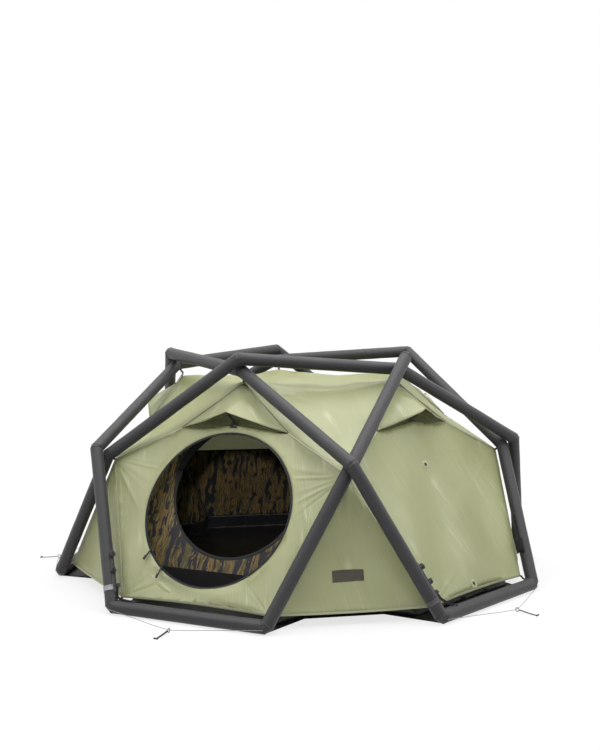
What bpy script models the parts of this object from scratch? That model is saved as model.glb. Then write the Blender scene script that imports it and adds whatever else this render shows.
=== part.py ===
"""Inflatable dome tent: a woven frame of five air chambers with a flysheet and an inner tent inside it.

Metres, +Z up. The origin is on the ground below the middle of the tent, and the door looks along -Y.
"""

from dataclasses import dataclass
from math import acos, cos, hypot, pi, radians, sin, tan

import bmesh
import bpy
from mathutils import Matrix, Vector

# Clearance between pieces that touch
GAP = 0.0003

# Plan: five side panels, each over one floor bar
SIDES = 5
SIDE_STEP = 360 / SIDES
FRONT_AZIMUTH = -90.0
CORNER_SPREAD = 18.0

# Air frame, measured to the tubes' centrelines; the waist bulge is how far the waist crossings
# stand out from the plane through a floor bar and the crown crossing above it
BASE_RADIUS = 1.470
WAIST_BULGE = 0.0049
WAIST_HEIGHT = 0.799
CROWN_RADIUS = 0.801
CROWN_HEIGHT = 1.299
TUBE_RADIUS = 0.036
TUBE_FACETS = 16
SLEEVE_WALL = 0.0012
BLADDER_WALL = 0.0006
BLADDER_FACETS = 8
STEEPEST_HALF_BEND = radians(24)
CROSSING_PLAY = 0.0005

# Joint between two chambers, low on each left leg
JOINT_DISTANCE = 0.096
BAND_WIDTH = 0.027
BAND_RISE = 0.0012
SPIGOT_LENGTH = 0.022
AIRWAY_RADIUS = 0.008

# Valves on the strip beside that joint
STRIP_LOW = 0.066
STRIP_HIGH = 0.300
STRIP_WIDTH = 0.018
STRIP_THICKNESS = 0.003
STRIP_TURN = radians(25)
SHUTOFF_DISTANCE = 0.184
INFLATION_DISTANCE = 0.272
SEAT_RADIUS = 0.0125
SEAT_HEIGHT = 0.006
CAP_RADIUS = 0.0165
CAP_HEIGHT = 0.013
CAP_RIBS = 9
RIB_DEPTH = 0.0014
KNOB_RADIUS = 0.015
KNOB_HEIGHT = 0.007
GRIP_HEIGHT = 0.009
GRIP_WIDTH = 0.005
GRIP_SPREAD = 0.9
SEAT_FACETS = 12
KNOB_FACETS = 16

# Flysheet, hung inside the frame: setbacks are from a floor bar's or a crown crossing's centreline,
# and drops are below the crossing that a corner hangs from
FLY_THICKNESS = 0.002
FLY_HEM_SETBACK = 0.068
FLY_CORNER_SETBACK = 0.022
FLY_HEM_HEIGHT = 0.075
FLY_WAIST_DROP = 0.047
FLY_TOP_SETBACK = 0.056
FLY_TOP_DROP = 0.091
HOOK_WIDTH = 0.006
HOOK_THICKNESS = 0.004

# Vents below the top corners, with their hoods and props; drops are below the flysheet's top
VENT_HALF_WIDTH = 0.335
VENT_END_DROP = 0.262
VENT_CORNER = 0.014
VENT_SILL_DROP = 0.178
HOOD_REACH = 0.227
HOOD_DROP = 0.156
PROP_WIDTH = 0.010
PROP_THICKNESS = 0.0025
PROP_INSET = 0.012
PROP_FOOT_DROP = 0.230

# Outer door, a circle in the front panel
DOOR_RADIUS = 0.430
DOOR_HEIGHT = 0.542
DOOR_SHIFT = 0.010
DOOR_FACETS = 64
ZIP_WIDTH = 0.012
ZIP_THICKNESS = 0.005
ZIP_PROUD = 0.0015
SLIDER_LENGTH = 0.016
SLIDER_WIDTH = 0.012
SLIDER_THICKNESS = 0.004
PULL_WIDTH = 0.004
PULL_THICKNESS = 0.002
PULL_LENGTH = 0.056
SLIDER_ANGLES = {"left": 218.0, "right": 235.0}
DOOR_ROLL_RADIUS = 0.028
DOOR_ROLL_OFFSET = 0.070
DOOR_ROLL_SPAN = (198.0, 252.0)
ROLL_STEPS = 8
ROLL_FACETS = 10

# Inner tent: cloth walls, mesh roof and floor tub; its clearances are to the flysheet, and the band's
# sag is the share of its thickness by which its inner corners hang below its outer edge
WALL_THICKNESS = 0.0015
INNER_BASE_CLEARANCE = 0.148
INNER_HALF_WIDTH = 0.445
INNER_WAIST_DROP = 0.132
INNER_TOP_CLEARANCE = 0.105
INNER_TOP_DROP = 0.058
NOTCH_SETBACK = 0.062
NOTCH_HALF_WIDTH = 0.216
TUB_HEIGHT = 0.100
BAND_SAG = 0.65
ROOF_LIFT = 0.00045
INNER_DOOR_RADIUS = 0.385
INNER_DOOR_HEIGHT = 0.620
INNER_DOOR_SHIFT = 0.045
INNER_DOOR_FACETS = 48
INNER_SLIDER_ANGLE = 205.0
INNER_SLIDER_RIM = 0.010
INNER_ROLL_RADIUS = 0.022
INNER_ROLL_SPAN = (100.0, 168.0)

# Groundsheet: its tips stop short of the floor bars' ends, and its notches lie outside the tub's
SHEET_THICKNESS = 0.002
SHEET_TIP_SETBACK = 0.014
SHEET_NOTCH_MARGIN = 0.047

# Pouch on the right leg
POUCH_DISTANCE = 0.225
POUCH_HEIGHT = 0.080
POUCH_WIDTH = 0.050
POUCH_THICKNESS = 0.014

# Guylines at the front, right and left floor bars
GUY_SIDES = {"front": 0, "right": 1, "left": 4}
CORD_RADIUS = 0.0015
GUY_REACH = 0.172
GUY_RING_RADIUS = 0.010
GUY_WIRE_RADIUS = 0.002
GUY_STRAP_LENGTH = 0.120
GUY_STRAP_WIDTH = 0.012
GUY_STRAP_THICKNESS = 0.003
PEG_HOOK_LENGTH = 0.024
PEG_HOOK_WIDTH = 0.008
PEG_HOOK_HEIGHT = 0.010
RING_FACETS = 16
WIRE_FACETS = 6

# Route of a guyline: off its floor bar as (share of the bar's half length, distance off the bar,
# height), then into its ring as (lateral, distance short of the ring's inside, height above its middle)
CORD_FROM_BAR = [(1.0, 0.0, 0.030), (0.86, 0.019, 0.0275), (0.55, 0.062, 0.0225)]
CORD_TO_RING = [(0.1136, 0.0245, 0.0045), (0.020, 0.0028, 0.0006), (0.007, 0.0004, 0.0)]
CORD_STEPS = 4

FINISHES = {
    "sleeve_cloth": ((0.085, 0.085, 0.09), 0.75, 0.0),
    "bladder_film": ((0.55, 0.56, 0.55), 0.35, 0.0),
    "joint_plastic": ((0.30, 0.30, 0.31), 0.5, 0.0),
    "valve_plastic": ((0.02, 0.02, 0.022), 0.4, 0.0),
    "fly_cloth": ((0.43, 0.44, 0.27), 0.6, 0.0),
    "zip_tape": ((0.06, 0.06, 0.07), 0.6, 0.0),
    "slider_metal": ((0.04, 0.04, 0.045), 0.35, 0.8),
    "inner_cloth": ((0.12, 0.085, 0.035), 0.85, 0.0),
    "mesh_cloth": ((0.10, 0.11, 0.07), 0.8, 0.0),
    "floor_cloth": ((0.012, 0.012, 0.014), 0.5, 0.0),
    "webbing": ((0.02, 0.02, 0.02), 0.8, 0.0),
    "guy_cord": ((0.62, 0.62, 0.60), 0.7, 0.0),
}


def material(finish):
    """The Principled material of a finish, made on first use."""
    found = bpy.data.materials.get(finish)
    if found:
        return found
    colour, roughness, metallic = FINISHES[finish]
    made = bpy.data.materials.new(finish)
    made.use_nodes = True
    shader = made.node_tree.nodes["Principled BSDF"]
    shader.inputs["Base Color"].default_value = (*colour, 1.0)
    shader.inputs["Roughness"].default_value = roughness
    shader.inputs["Metallic"].default_value = metallic
    return made


def add_object(name, bm, finish, origin=Vector()):
    """Turn a bmesh into a named object whose origin is at the given point."""
    bmesh.ops.recalc_face_normals(bm, faces=bm.faces)
    mesh = bpy.data.meshes.new(name)
    bm.to_mesh(mesh)
    bm.free()
    mesh.transform(Matrix.Translation(-origin))
    mesh.materials.append(material(finish))
    mesh.shade_smooth()
    mesh.set_sharp_from_angle(angle=radians(35))
    made = bpy.data.objects.new(name, mesh)
    made.location = origin
    bpy.context.scene.collection.objects.link(made)
    return made


def skin(name, loops, finish, wrap=False, origin=Vector()):
    """Join equal loops of points in order; wrap closes last to first, otherwise the ends are capped."""
    bm = bmesh.new()
    rows = [[bm.verts.new(point) for point in loop] for loop in loops]
    count = len(rows[0])
    pairs = list(zip(rows, rows[1:]))
    if wrap:
        pairs.append((rows[-1], rows[0]))
    else:
        bm.faces.new(rows[0])
        bm.faces.new(rows[-1])
    for low, high in pairs:
        for i in range(count):
            j = (i + 1) % count
            bm.faces.new((low[i], low[j], high[j], high[i]))
    return add_object(name, bm, finish, origin)


def settle(target):
    """Apply an object's modifiers to its mesh."""
    bpy.context.view_layer.update()
    graph = bpy.context.evaluated_depsgraph_get()
    mesh = bpy.data.meshes.new_from_object(target.evaluated_get(graph), depsgraph=graph)
    target.modifiers.clear()
    target.data = mesh
    return target


def combine(target, tools, operation):
    """Unite tool objects with a target, or cut them out of it, and remove the tools."""
    for tool in tools:
        modifier = target.modifiers.new(tool.name, "BOOLEAN")
        modifier.operation = operation
        modifier.object = tool
        modifier.solver = "EXACT"
    settle(target)
    for tool in tools:
        bpy.data.objects.remove(tool)
    return target


def azimuth(side):
    return radians(FRONT_AZIMUTH + SIDE_STEP * side)


def place(side, lateral, distance, height):
    """A point given by how far right of a side's middle, how far out and how high it is."""
    a = azimuth(side)
    return Vector((distance * cos(a) - lateral * sin(a), distance * sin(a) + lateral * cos(a), height))


def polar(radius, degrees, height):
    return Vector((radius * cos(radians(degrees)), radius * sin(radians(degrees)), height))


def circle(centre, axis, toward, radius, facets):
    """Points round an axis, with a facet's middle in the given direction."""
    across = (toward - axis * toward.dot(axis)).normalized()
    other = axis.cross(across)
    turns = [2 * pi * (i + 0.5) / facets for i in range(facets)]
    return [centre + (across * cos(t) + other * sin(t)) * radius for t in turns]


def lathe(name, profile, centre, axis, toward, facets, finish, wrap=False, origin=Vector()):
    """Turn a profile of (radius, distance along the axis) pairs round an axis."""
    loops = [circle(centre + axis * along, axis, toward, radius, facets) for radius, along in profile]
    return skin(name, loops, finish, wrap, origin)


def block(name, start, end, width_way, width, thickness, finish, origin=Vector()):
    """A rectangular bar between two points; width_way is the direction of its width."""
    along = (end - start).normalized()
    across = (width_way - along * width_way.dot(along)).normalized() * width / 2
    through = along.cross(across).normalized() * thickness / 2
    corners = [across + through, across - through, -across - through, -across + through]
    return skin(name, [[p + c for c in corners] for p in (start, end)], finish, False, origin)


# Air frame

BASE_HEIGHT = TUBE_RADIUS * cos(pi / TUBE_FACETS)
BAR_DISTANCE = BASE_RADIUS * cos(radians(CORNER_SPREAD))
BAR_HALF_LENGTH = BASE_RADIUS * sin(radians(CORNER_SPREAD))
FRAME_SLOPE = (BAR_DISTANCE - CROWN_RADIUS) / (CROWN_HEIGHT - BASE_HEIGHT)
WAIST_DISTANCE = BAR_DISTANCE - FRAME_SLOPE * (WAIST_HEIGHT - BASE_HEIGHT)
WAIST_RADIUS = WAIST_DISTANCE / cos(radians(SIDE_STEP / 2)) + WAIST_BULGE
CROSSING_OFFSET = TUBE_RADIUS / cos(STEEPEST_HALF_BEND) + CROSSING_PLAY
BLADDER_RADIUS = (TUBE_RADIUS - SLEEVE_WALL) * cos(pi / TUBE_FACETS) - GAP
SPIGOT_RADIUS = (BLADDER_RADIUS - BLADDER_WALL) * cos(pi / BLADDER_FACETS) - GAP


def left_corner(side):
    return polar(BASE_RADIUS, FRONT_AZIMUTH + SIDE_STEP * side - CORNER_SPREAD, BASE_HEIGHT)


def right_corner(side):
    return polar(BASE_RADIUS, FRONT_AZIMUTH + SIDE_STEP * side + CORNER_SPREAD, BASE_HEIGHT)


def waist_node(side):
    """The crossing left of a side panel."""
    return polar(WAIST_RADIUS, FRONT_AZIMUTH + SIDE_STEP * (side - 0.5), WAIST_HEIGHT)


def crown_node(side):
    """The crossing above a side panel."""
    return polar(CROWN_RADIUS, FRONT_AZIMUTH + SIDE_STEP * side, CROWN_HEIGHT)


def over(node):
    return node + node.normalized() * CROSSING_OFFSET


def under(node):
    return node - node.normalized() * CROSSING_OFFSET


@dataclass
class Leg:
    """The leg over a side's left corner, where two chambers meet."""

    side: int

    def __post_init__(self):
        self.foot = left_corner(self.side)
        self.axis = (over(waist_node(self.side)) - self.foot).normalized()
        bar = (right_corner(self.side) - self.foot).normalized()
        self.inward = (bar - self.axis * bar.dot(self.axis)).normalized()
        outward = self.axis.cross(self.inward)
        if outward.dot(place(self.side, 0, 1, 0)) < 0:
            outward = -outward
        self.strip_way = self.inward * cos(STRIP_TURN) + outward * sin(STRIP_TURN)

    def at(self, distance, offset=0.0):
        """A point along the leg, set off towards the valve strip's side."""
        return self.foot + self.axis * distance + self.strip_way * offset


def chamber_path(index):
    """Centreline of one chamber: an arch of five struts, a floor bar and the foot of the next leg."""
    last = index + 2
    play = BAND_WIDTH / 2 + GAP
    return [
        Leg(index).at(JOINT_DISTANCE + play),
        over(waist_node(index)),
        under(crown_node(index - 1)),
        over(crown_node(index - 2)),
        under(waist_node(index - 2)),
        right_corner(last),
        left_corner(last),
        Leg(last).at(JOINT_DISTANCE - play),
    ]


BAR_SEGMENT = 5


def mitred_loops(path, radius, facets):
    """Loops of a mitred tube, whose floor bar lies on a facet; each loop halves its bend."""
    ways = [(b - a).normalized() for a, b in zip(path, path[1:])]
    spokes = [None] * len(ways)
    spokes[BAR_SEGMENT] = circle(Vector(), ways[BAR_SEGMENT], Vector((0, 0, -1)), radius, facets)
    for i in range(BAR_SEGMENT + 1, len(ways)):
        turn = ways[i - 1].rotation_difference(ways[i])
        spokes[i] = [turn @ spoke for spoke in spokes[i - 1]]
    for i in range(BAR_SEGMENT - 1, -1, -1):
        turn = ways[i + 1].rotation_difference(ways[i])
        spokes[i] = [turn @ spoke for spoke in spokes[i + 1]]
    loops = [[path[0] + spoke for spoke in spokes[0]]]
    for i in range(1, len(ways)):
        plane = (ways[i - 1] + ways[i]).normalized()
        slide = ways[i] / ways[i].dot(plane)
        loops.append([path[i] + spoke - slide * spoke.dot(plane) for spoke in spokes[i]])
    loops.append([path[-1] + spoke for spoke in spokes[-1]])
    return loops


def hollow_tube(name, path, radius, wall, facets, finish):
    outside = mitred_loops(path, radius, facets)
    inside = mitred_loops(path, radius - wall, facets)
    return skin(name, outside + inside[::-1], finish, wrap=True)


def build_chambers():
    for index in range(SIDES):
        path = chamber_path(index)
        number = index + 1
        hollow_tube(f"tube_sleeve_{number}", path, TUBE_RADIUS, SLEEVE_WALL, TUBE_FACETS, "sleeve_cloth")
        hollow_tube(f"air_bladder_{number}", path, BLADDER_RADIUS, BLADDER_WALL, BLADDER_FACETS, "bladder_film")


# Joints and valves

STRIP_BACK = TUBE_RADIUS + GAP
STRIP_FACE = STRIP_BACK + STRIP_THICKNESS
CAP_BACK = STRIP_FACE + SEAT_HEIGHT + GAP


def build_joint(index):
    """The collar between two chambers, in one piece with its valve strip and two valve seats."""
    leg = Leg(index)
    half_band = BAND_WIDTH / 2
    reach = half_band + SPIGOT_LENGTH
    band_radius = TUBE_RADIUS + BAND_RISE
    profile = [
        (AIRWAY_RADIUS, -reach),
        (SPIGOT_RADIUS, -reach),
        (SPIGOT_RADIUS, -half_band),
        (band_radius, -half_band),
        (band_radius, half_band),
        (SPIGOT_RADIUS, half_band),
        (SPIGOT_RADIUS, reach),
        (AIRWAY_RADIUS, reach),
    ]
    centre = leg.at(JOINT_DISTANCE)
    name = f"joint_valve_{index + 1}"
    collar = lathe(name, profile, centre, leg.axis, leg.strip_way, TUBE_FACETS, "joint_plastic", wrap=True)
    middle = STRIP_BACK + STRIP_THICKNESS / 2
    cross = leg.axis.cross(leg.strip_way)
    strip = block("strip", leg.at(STRIP_LOW, middle), leg.at(STRIP_HIGH, middle), cross,
                  STRIP_WIDTH, STRIP_THICKNESS, "joint_plastic")
    pieces = [strip]
    for distance in (SHUTOFF_DISTANCE, INFLATION_DISTANCE):
        seat = [(SEAT_RADIUS, middle), (SEAT_RADIUS, STRIP_FACE + SEAT_HEIGHT)]
        pieces.append(lathe("seat", seat, leg.at(distance), leg.strip_way, leg.axis, SEAT_FACETS,
                            "joint_plastic"))
    combine(collar, pieces, "UNION")


def ribbed_loop(centre, axis, toward, radius):
    """A circle of ribs: pairs of points that stand out and drop back by the rib depth."""
    points = circle(centre, axis, toward, radius, 4 * CAP_RIBS)
    dip = 1 - RIB_DEPTH / radius
    return [centre + (p - centre) * (dip if i % 4 in (2, 3) else 1) for i, p in enumerate(points)]


def build_valve_controls(index):
    """The inflation valve's ribbed cap and the shut-off valve's knob."""
    leg = Leg(index)
    foot = leg.at(INFLATION_DISTANCE, CAP_BACK)
    top = foot + leg.strip_way * CAP_HEIGHT
    loops = [ribbed_loop(p, leg.strip_way, leg.axis, CAP_RADIUS) for p in (foot, top)]
    skin(f"inflation_cap_{index + 1}", loops, "valve_plastic", origin=foot)
    foot = leg.at(SHUTOFF_DISTANCE, CAP_BACK)
    shoulder = foot + leg.strip_way * KNOB_HEIGHT
    rim = [circle(p, leg.strip_way, leg.axis, KNOB_RADIUS, KNOB_FACETS) for p in (foot, shoulder)]
    across = leg.axis.cross(leg.strip_way)
    grip = []
    for lift in (0.0, GRIP_HEIGHT):
        loop = []
        for p in rim[1]:
            out = p - shoulder
            narrow = across * out.dot(across) * (1 - GRIP_WIDTH / KNOB_RADIUS)
            loop.append(shoulder + (out - narrow) * GRIP_SPREAD + leg.strip_way * lift)
        grip.append(loop)
    skin(f"shutoff_knob_{index + 1}", rim + grip, "valve_plastic", origin=foot)


# Flysheet and inner tent share one kind of shell

@dataclass
class Shell:
    """A five-sided dome of flat panels; distances are from the axis to a side panel's plane."""

    base_distance: float
    half_width: float
    base_height: float
    waist_height: float
    top_radius: float
    top_height: float

    def __post_init__(self):
        self.slope = (self.base_distance - self.top_radius) / (self.top_height - self.base_height)
        self.rise = 1 / hypot(1, self.slope)

    def distance(self, height):
        return self.base_distance - self.slope * (height - self.base_height)

    def on_side(self, side, lateral, height):
        return place(side, lateral, self.distance(height), height)

    def hem(self, side, hand):
        return self.on_side(side, hand * self.half_width, self.base_height)

    def waist(self, side):
        """The corner left of a side panel."""
        half_step = radians(SIDE_STEP / 2)
        return place(side - 0.5, 0, self.distance(self.waist_height) / cos(half_step), self.waist_height)

    def top(self, side):
        return place(side, 0, self.top_radius, self.top_height)

    def normal(self, side):
        return place(side, 0, self.rise, self.slope * self.rise)

    def upward(self, side):
        return place(side, 0, -self.slope * self.rise, self.rise)


FLY = Shell(
    base_distance=BAR_DISTANCE - FLY_HEM_SETBACK,
    half_width=BAR_HALF_LENGTH - FLY_CORNER_SETBACK,
    base_height=FLY_HEM_HEIGHT,
    waist_height=WAIST_HEIGHT - FLY_WAIST_DROP,
    top_radius=CROWN_RADIUS - FLY_TOP_SETBACK,
    top_height=CROWN_HEIGHT - FLY_TOP_DROP,
)
INNER = Shell(
    base_distance=FLY.base_distance - INNER_BASE_CLEARANCE,
    half_width=INNER_HALF_WIDTH,
    base_height=TUB_HEIGHT,
    waist_height=FLY.waist_height - INNER_WAIST_DROP,
    top_radius=FLY.top_radius - INNER_TOP_CLEARANCE,
    top_height=FLY.top_height - INNER_TOP_DROP,
)
NOTCH_DISTANCE = INNER.base_distance - NOTCH_SETBACK


CUTTER_REACH = 0.05


def door_cutter(shell, centre, radius, facets):
    """A cylinder through a shell's front panel."""
    profile = [(radius, -CUTTER_REACH), (radius, CUTTER_REACH)]
    return lathe("door_cutter", profile, centre, shell.normal(0), shell.upward(0), facets, "fly_cloth")


def sheet(name, faces, thickness, finish, inward=True):
    """A cloth of flat faces, given its thickness on the inner or the outer side."""
    bm = bmesh.new()
    for corners in faces:
        bm.faces.new([bm.verts.new(corner) for corner in corners])
    bmesh.ops.remove_doubles(bm, verts=bm.verts, dist=1e-5)
    bm.normal_update()
    for face in bm.faces:
        if face.normal.dot(face.calc_center_median()) < 0:
            face.normal_flip()
    mesh = bpy.data.meshes.new(name)
    bm.to_mesh(mesh)
    bm.free()
    mesh.materials.append(material(finish))
    made = bpy.data.objects.new(name, mesh)
    bpy.context.scene.collection.objects.link(made)
    thicken = made.modifiers.new("thickness", "SOLIDIFY")
    thicken.thickness = thickness
    thicken.offset = -1.0 if inward else 1.0
    thicken.use_even_offset = True
    return settle(made)


def vent_points(side, hand):
    """The two ends of a vent on its ridge: where the hood stops and where the panel starts."""
    panel_end = FLY.on_side(side, hand * VENT_HALF_WIDTH, FLY.top_height - VENT_END_DROP)
    ridge = (FLY.top(side) - panel_end).normalized()
    return panel_end + ridge * VENT_CORNER, panel_end


def hood_peak(side):
    return place(side, 0, FLY.top_radius + HOOD_REACH, FLY.top_height - HOOD_DROP)


def build_flysheet():
    faces = [[FLY.top(side) for side in range(SIDES)]]
    for side in range(SIDES):
        right = side + 1
        hood_left, panel_left = vent_points(side, -1)
        hood_right, panel_right = vent_points(side, 1)
        next_hood, next_panel = vent_points(right, -1)
        sill = FLY.on_side(side, 0, FLY.top_height - VENT_SILL_DROP)
        top, peak = FLY.top(side), hood_peak(side)
        faces.append([FLY.hem(side, -1), FLY.hem(side, 1), FLY.waist(right), panel_right, sill, panel_left,
                      FLY.waist(side)])
        faces.append([top, hood_left, peak])
        faces.append([top, peak, hood_right])
        faces.append([top, hood_right, panel_right, next_panel, next_hood, FLY.top(right)])
        faces.append([panel_right, FLY.waist(right), next_panel])
        faces.append([FLY.hem(side, 1), FLY.hem(right, -1), FLY.waist(right)])
    fly = sheet("flysheet", faces, FLY_THICKNESS, "fly_cloth")
    combine(fly, [door_cutter(FLY, door_centre(), DOOR_RADIUS + ZIP_WIDTH / 2 + GAP, DOOR_FACETS)], "DIFFERENCE")


def build_hooks():
    """Short hooks that hang the flysheet's ten upper corners under the frame's crossings."""
    for side in range(SIDES):
        for kind, node, corner, before, after in (
            ("crown", crown_node(side), FLY.top(side), over(waist_node(side + 1)), over(crown_node(side - 1))),
            ("waist", waist_node(side), FLY.waist(side), over(crown_node(side)), right_corner(side - 1)),
        ):
            tube = under(node)
            bend = (tube - before).angle(after - tube) / 2
            reach = CROSSING_OFFSET + TUBE_RADIUS / cos(bend)
            lower = HOOK_WIDTH / 2 * tan(bend)
            away = node.normalized()
            start = node - away * (reach + lower + GAP)
            end = corner + (start - corner).normalized() * GAP
            way = (after - before).normalized()
            block(f"fly_hook_{kind}_{side + 1}", start, end, way, HOOK_WIDTH, HOOK_THICKNESS, "webbing")


def build_props():
    """Props that hang from each hood's ridge and stand on the panel below its vent."""
    for side in range(SIDES):
        top, peak = FLY.top(side), hood_peak(side)
        across = place(side, 1, 0, 0)
        ridge = (top - peak).normalized()
        above = across.cross(ridge)
        hood_face = (vent_points(side, 1)[0] - top).cross(peak - top).normalized()
        fold = acos(abs(hood_face.dot(above)))
        drop = (FLY_THICKNESS + GAP) / cos(fold) + PROP_WIDTH / 2 * tan(fold) + PROP_THICKNESS / 2
        start = peak + ridge * PROP_INSET - above * drop
        foot = FLY.on_side(side, 0, FLY.top_height - PROP_FOOT_DROP)
        lean = (start - foot).angle(FLY.normal(side))
        end = foot + FLY.normal(side) * (GAP + PROP_THICKNESS / 2 * sin(lean))
        block(f"vent_prop_{side + 1}", start, end, across, PROP_WIDTH, PROP_THICKNESS, "webbing", origin=start)


# Doors

def door_centre():
    return FLY.on_side(0, DOOR_SHIFT, DOOR_HEIGHT)


def inner_door_centre():
    return INNER.on_side(0, INNER_DOOR_SHIFT, INNER_DOOR_HEIGHT)


def round_door(shell, centre, radius, degrees, lift=0.0):
    """A point at an angle round a door, seen from outside and counted from its right."""
    right = place(0, 1, 0, 0)
    turn = radians(degrees)
    return centre + (right * cos(turn) + shell.upward(0) * sin(turn)) * radius + shell.normal(0) * lift


def build_door_zip():
    centre = door_centre()
    inside, outside = DOOR_RADIUS - ZIP_WIDTH / 2, DOOR_RADIUS + ZIP_WIDTH / 2
    front, back = ZIP_PROUD, ZIP_PROUD - ZIP_THICKNESS
    corners = [(inside, back), (outside, back), (outside, front), (inside, front)]
    loops = [circle(centre + FLY.normal(0) * lift, FLY.normal(0), FLY.upward(0), radius, DOOR_FACETS)
             for radius, lift in corners]
    skin("door_zip", loops, "zip_tape", wrap=True)


def build_slider(name, shell, centre, radius, degrees, lift, pull_length=0.0):
    """A zip slider on a ring, with an optional pull that hangs; its origin is on the ring's axis."""
    spot = round_door(shell, centre, radius, degrees, lift + SLIDER_THICKNESS / 2)
    along = shell.normal(0).cross(spot - centre).normalized()
    half = along * SLIDER_LENGTH / 2
    slider = block(name, spot - half, spot + half, shell.normal(0).cross(along), SLIDER_WIDTH,
                   SLIDER_THICKNESS, "slider_metal", centre)
    if pull_length:
        tip = spot - shell.upward(0) * pull_length
        pull = block("pull", spot, tip, place(0, 1, 0, 0), PULL_WIDTH, PULL_THICKNESS, "slider_metal")
        combine(slider, [pull], "UNION")


def build_roll(name, shell, centre, radius, span, lift, thickness, finish):
    """A rolled-up door panel: a round bundle that follows the door's edge."""
    loops = []
    for i in range(ROLL_STEPS + 1):
        degrees = span[0] + (span[1] - span[0]) * i / ROLL_STEPS
        spine = round_door(shell, centre, radius, degrees, lift)
        out = (spine - centre).normalized()
        loops.append(circle(spine, shell.normal(0).cross(out).normalized(), out, thickness, ROLL_FACETS))
    skin(name, loops, finish)


def build_doors():
    build_door_zip()
    for hand, degrees in SLIDER_ANGLES.items():
        build_slider(f"door_slider_{hand}", FLY, door_centre(), DOOR_RADIUS, degrees, ZIP_PROUD + GAP,
                     PULL_LENGTH)
    build_roll("outer_door_roll", FLY, door_centre(), DOOR_RADIUS + DOOR_ROLL_OFFSET, DOOR_ROLL_SPAN,
               -(FLY_THICKNESS + GAP + DOOR_ROLL_RADIUS), DOOR_ROLL_RADIUS, "fly_cloth")
    build_slider("inner_door_slider", INNER, inner_door_centre(), INNER_DOOR_RADIUS + INNER_SLIDER_RIM,
                 INNER_SLIDER_ANGLE, GAP)
    build_roll("inner_door_roll", INNER, inner_door_centre(), INNER_DOOR_RADIUS, INNER_ROLL_SPAN,
               GAP + INNER_ROLL_RADIUS, INNER_ROLL_RADIUS, "inner_cloth")


# Inner tent

def notch(side, hand, height):
    """A corner of the set-back stretch between a side and the next one to its right."""
    fall = (height - TUB_HEIGHT) * INNER.slope / 2
    return place(side + 0.5, hand * NOTCH_HALF_WIDTH, NOTCH_DISTANCE - fall, height)


def build_inner_tent():
    cloth, mesh = [], [[INNER.top(side) for side in range(SIDES)]]
    low = TUB_HEIGHT + GAP
    for side in range(SIDES):
        right = side + 1
        foot = [INNER.on_side(side, hand * INNER_HALF_WIDTH, low) for hand in (-1, 1)]
        next_foot = INNER.on_side(right, -INNER_HALF_WIDTH, low)
        wall = [*foot, INNER.waist(right), INNER.waist(side)]
        gable = [INNER.waist(side), INNER.waist(right), INNER.top(side)]
        if side == 0:
            cloth.append([*foot, INNER.waist(right), INNER.top(side), INNER.waist(side)])
        else:
            cloth.append(wall)
            mesh.append(gable)
        pegs = [notch(side, -1, low), notch(side, 1, low)]
        cloth.append([foot[1], pegs[0], INNER.waist(right)])
        cloth.append([pegs[0], pegs[1], INNER.waist(right)])
        cloth.append([pegs[1], next_foot, INNER.waist(right)])
        mesh.append([INNER.top(side), INNER.waist(right), INNER.top(right)])
    inner = sheet("inner_tent", cloth, WALL_THICKNESS, "inner_cloth")
    combine(inner, [door_cutter(INNER, inner_door_centre(), INNER_DOOR_RADIUS, INNER_DOOR_FACETS)], "DIFFERENCE")
    lifted = 1 + ROOF_LIFT / INNER.top_radius
    roof = [[corner * lifted for corner in face] for face in mesh]
    sheet("mesh_roof", roof, WALL_THICKNESS, "mesh_cloth", inward=False)


def tub_outline(height):
    corners = []
    for side in range(SIDES):
        corners += [INNER.on_side(side, hand * INNER_HALF_WIDTH, height) for hand in (-1, 1)]
        corners += [notch(side, hand, height) for hand in (-1, 1)]
    return corners


def build_tub():
    """The floor tub: a flat floor and the wall band that is sewn up round it."""
    low = SHEET_THICKNESS + GAP
    top = low + WALL_THICKNESS
    skin("floor_tub", [tub_outline(height) for height in (low, top)], "floor_cloth")
    foot, rim = tub_outline(top + GAP + WALL_THICKNESS * BAND_SAG), tub_outline(TUB_HEIGHT)
    count = len(foot)
    faces = [[foot[i], foot[(i + 1) % count], rim[(i + 1) % count], rim[i]] for i in range(count)]
    sheet("tub_wall", faces, WALL_THICKNESS, "floor_cloth")


def build_groundsheet():
    """A flat sheet tucked under the floor bars and cut back between the sides."""
    facet_turn = 2 * pi / TUBE_FACETS
    tuck = TUBE_RADIUS * sin(pi / TUBE_FACETS) + SHEET_THICKNESS / tan(facet_turn) + GAP / sin(facet_turn)
    edge = BAR_DISTANCE - tuck
    tip = BAR_HALF_LENGTH - SHEET_TIP_SETBACK
    outline = []
    for side in range(SIDES):
        outline += [(side, -tip, edge), (side, tip, edge)]
        outline += [(side + 0.5, hand * NOTCH_HALF_WIDTH, NOTCH_DISTANCE + SHEET_NOTCH_MARGIN) for hand in (-1, 1)]
    loops = [[place(*spot, height) for spot in outline] for height in (0.0, SHEET_THICKNESS)]
    skin("groundsheet", loops, "floor_cloth")


# Pouch and guylines

def build_pouch():
    """A flat pouch hung on the inner side of the right-hand leg of the right side."""
    foot = right_corner(1)
    axis = (under(waist_node(2)) - foot).normalized()
    bar = (left_corner(1) - foot).normalized()
    inward = (bar - axis * bar.dot(axis)).normalized()
    middle = foot + axis * POUCH_DISTANCE + inward * (TUBE_RADIUS + GAP + POUCH_THICKNESS / 2)
    half = axis * POUCH_HEIGHT / 2
    block("repair_pouch", middle - half, middle + half, axis.cross(inward), POUCH_WIDTH, POUCH_THICKNESS, "webbing")


GUY_RING_DISTANCE = BAR_DISTANCE + GUY_REACH
RING_HEIGHT = GUY_RING_RADIUS + GUY_WIRE_RADIUS


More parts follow.
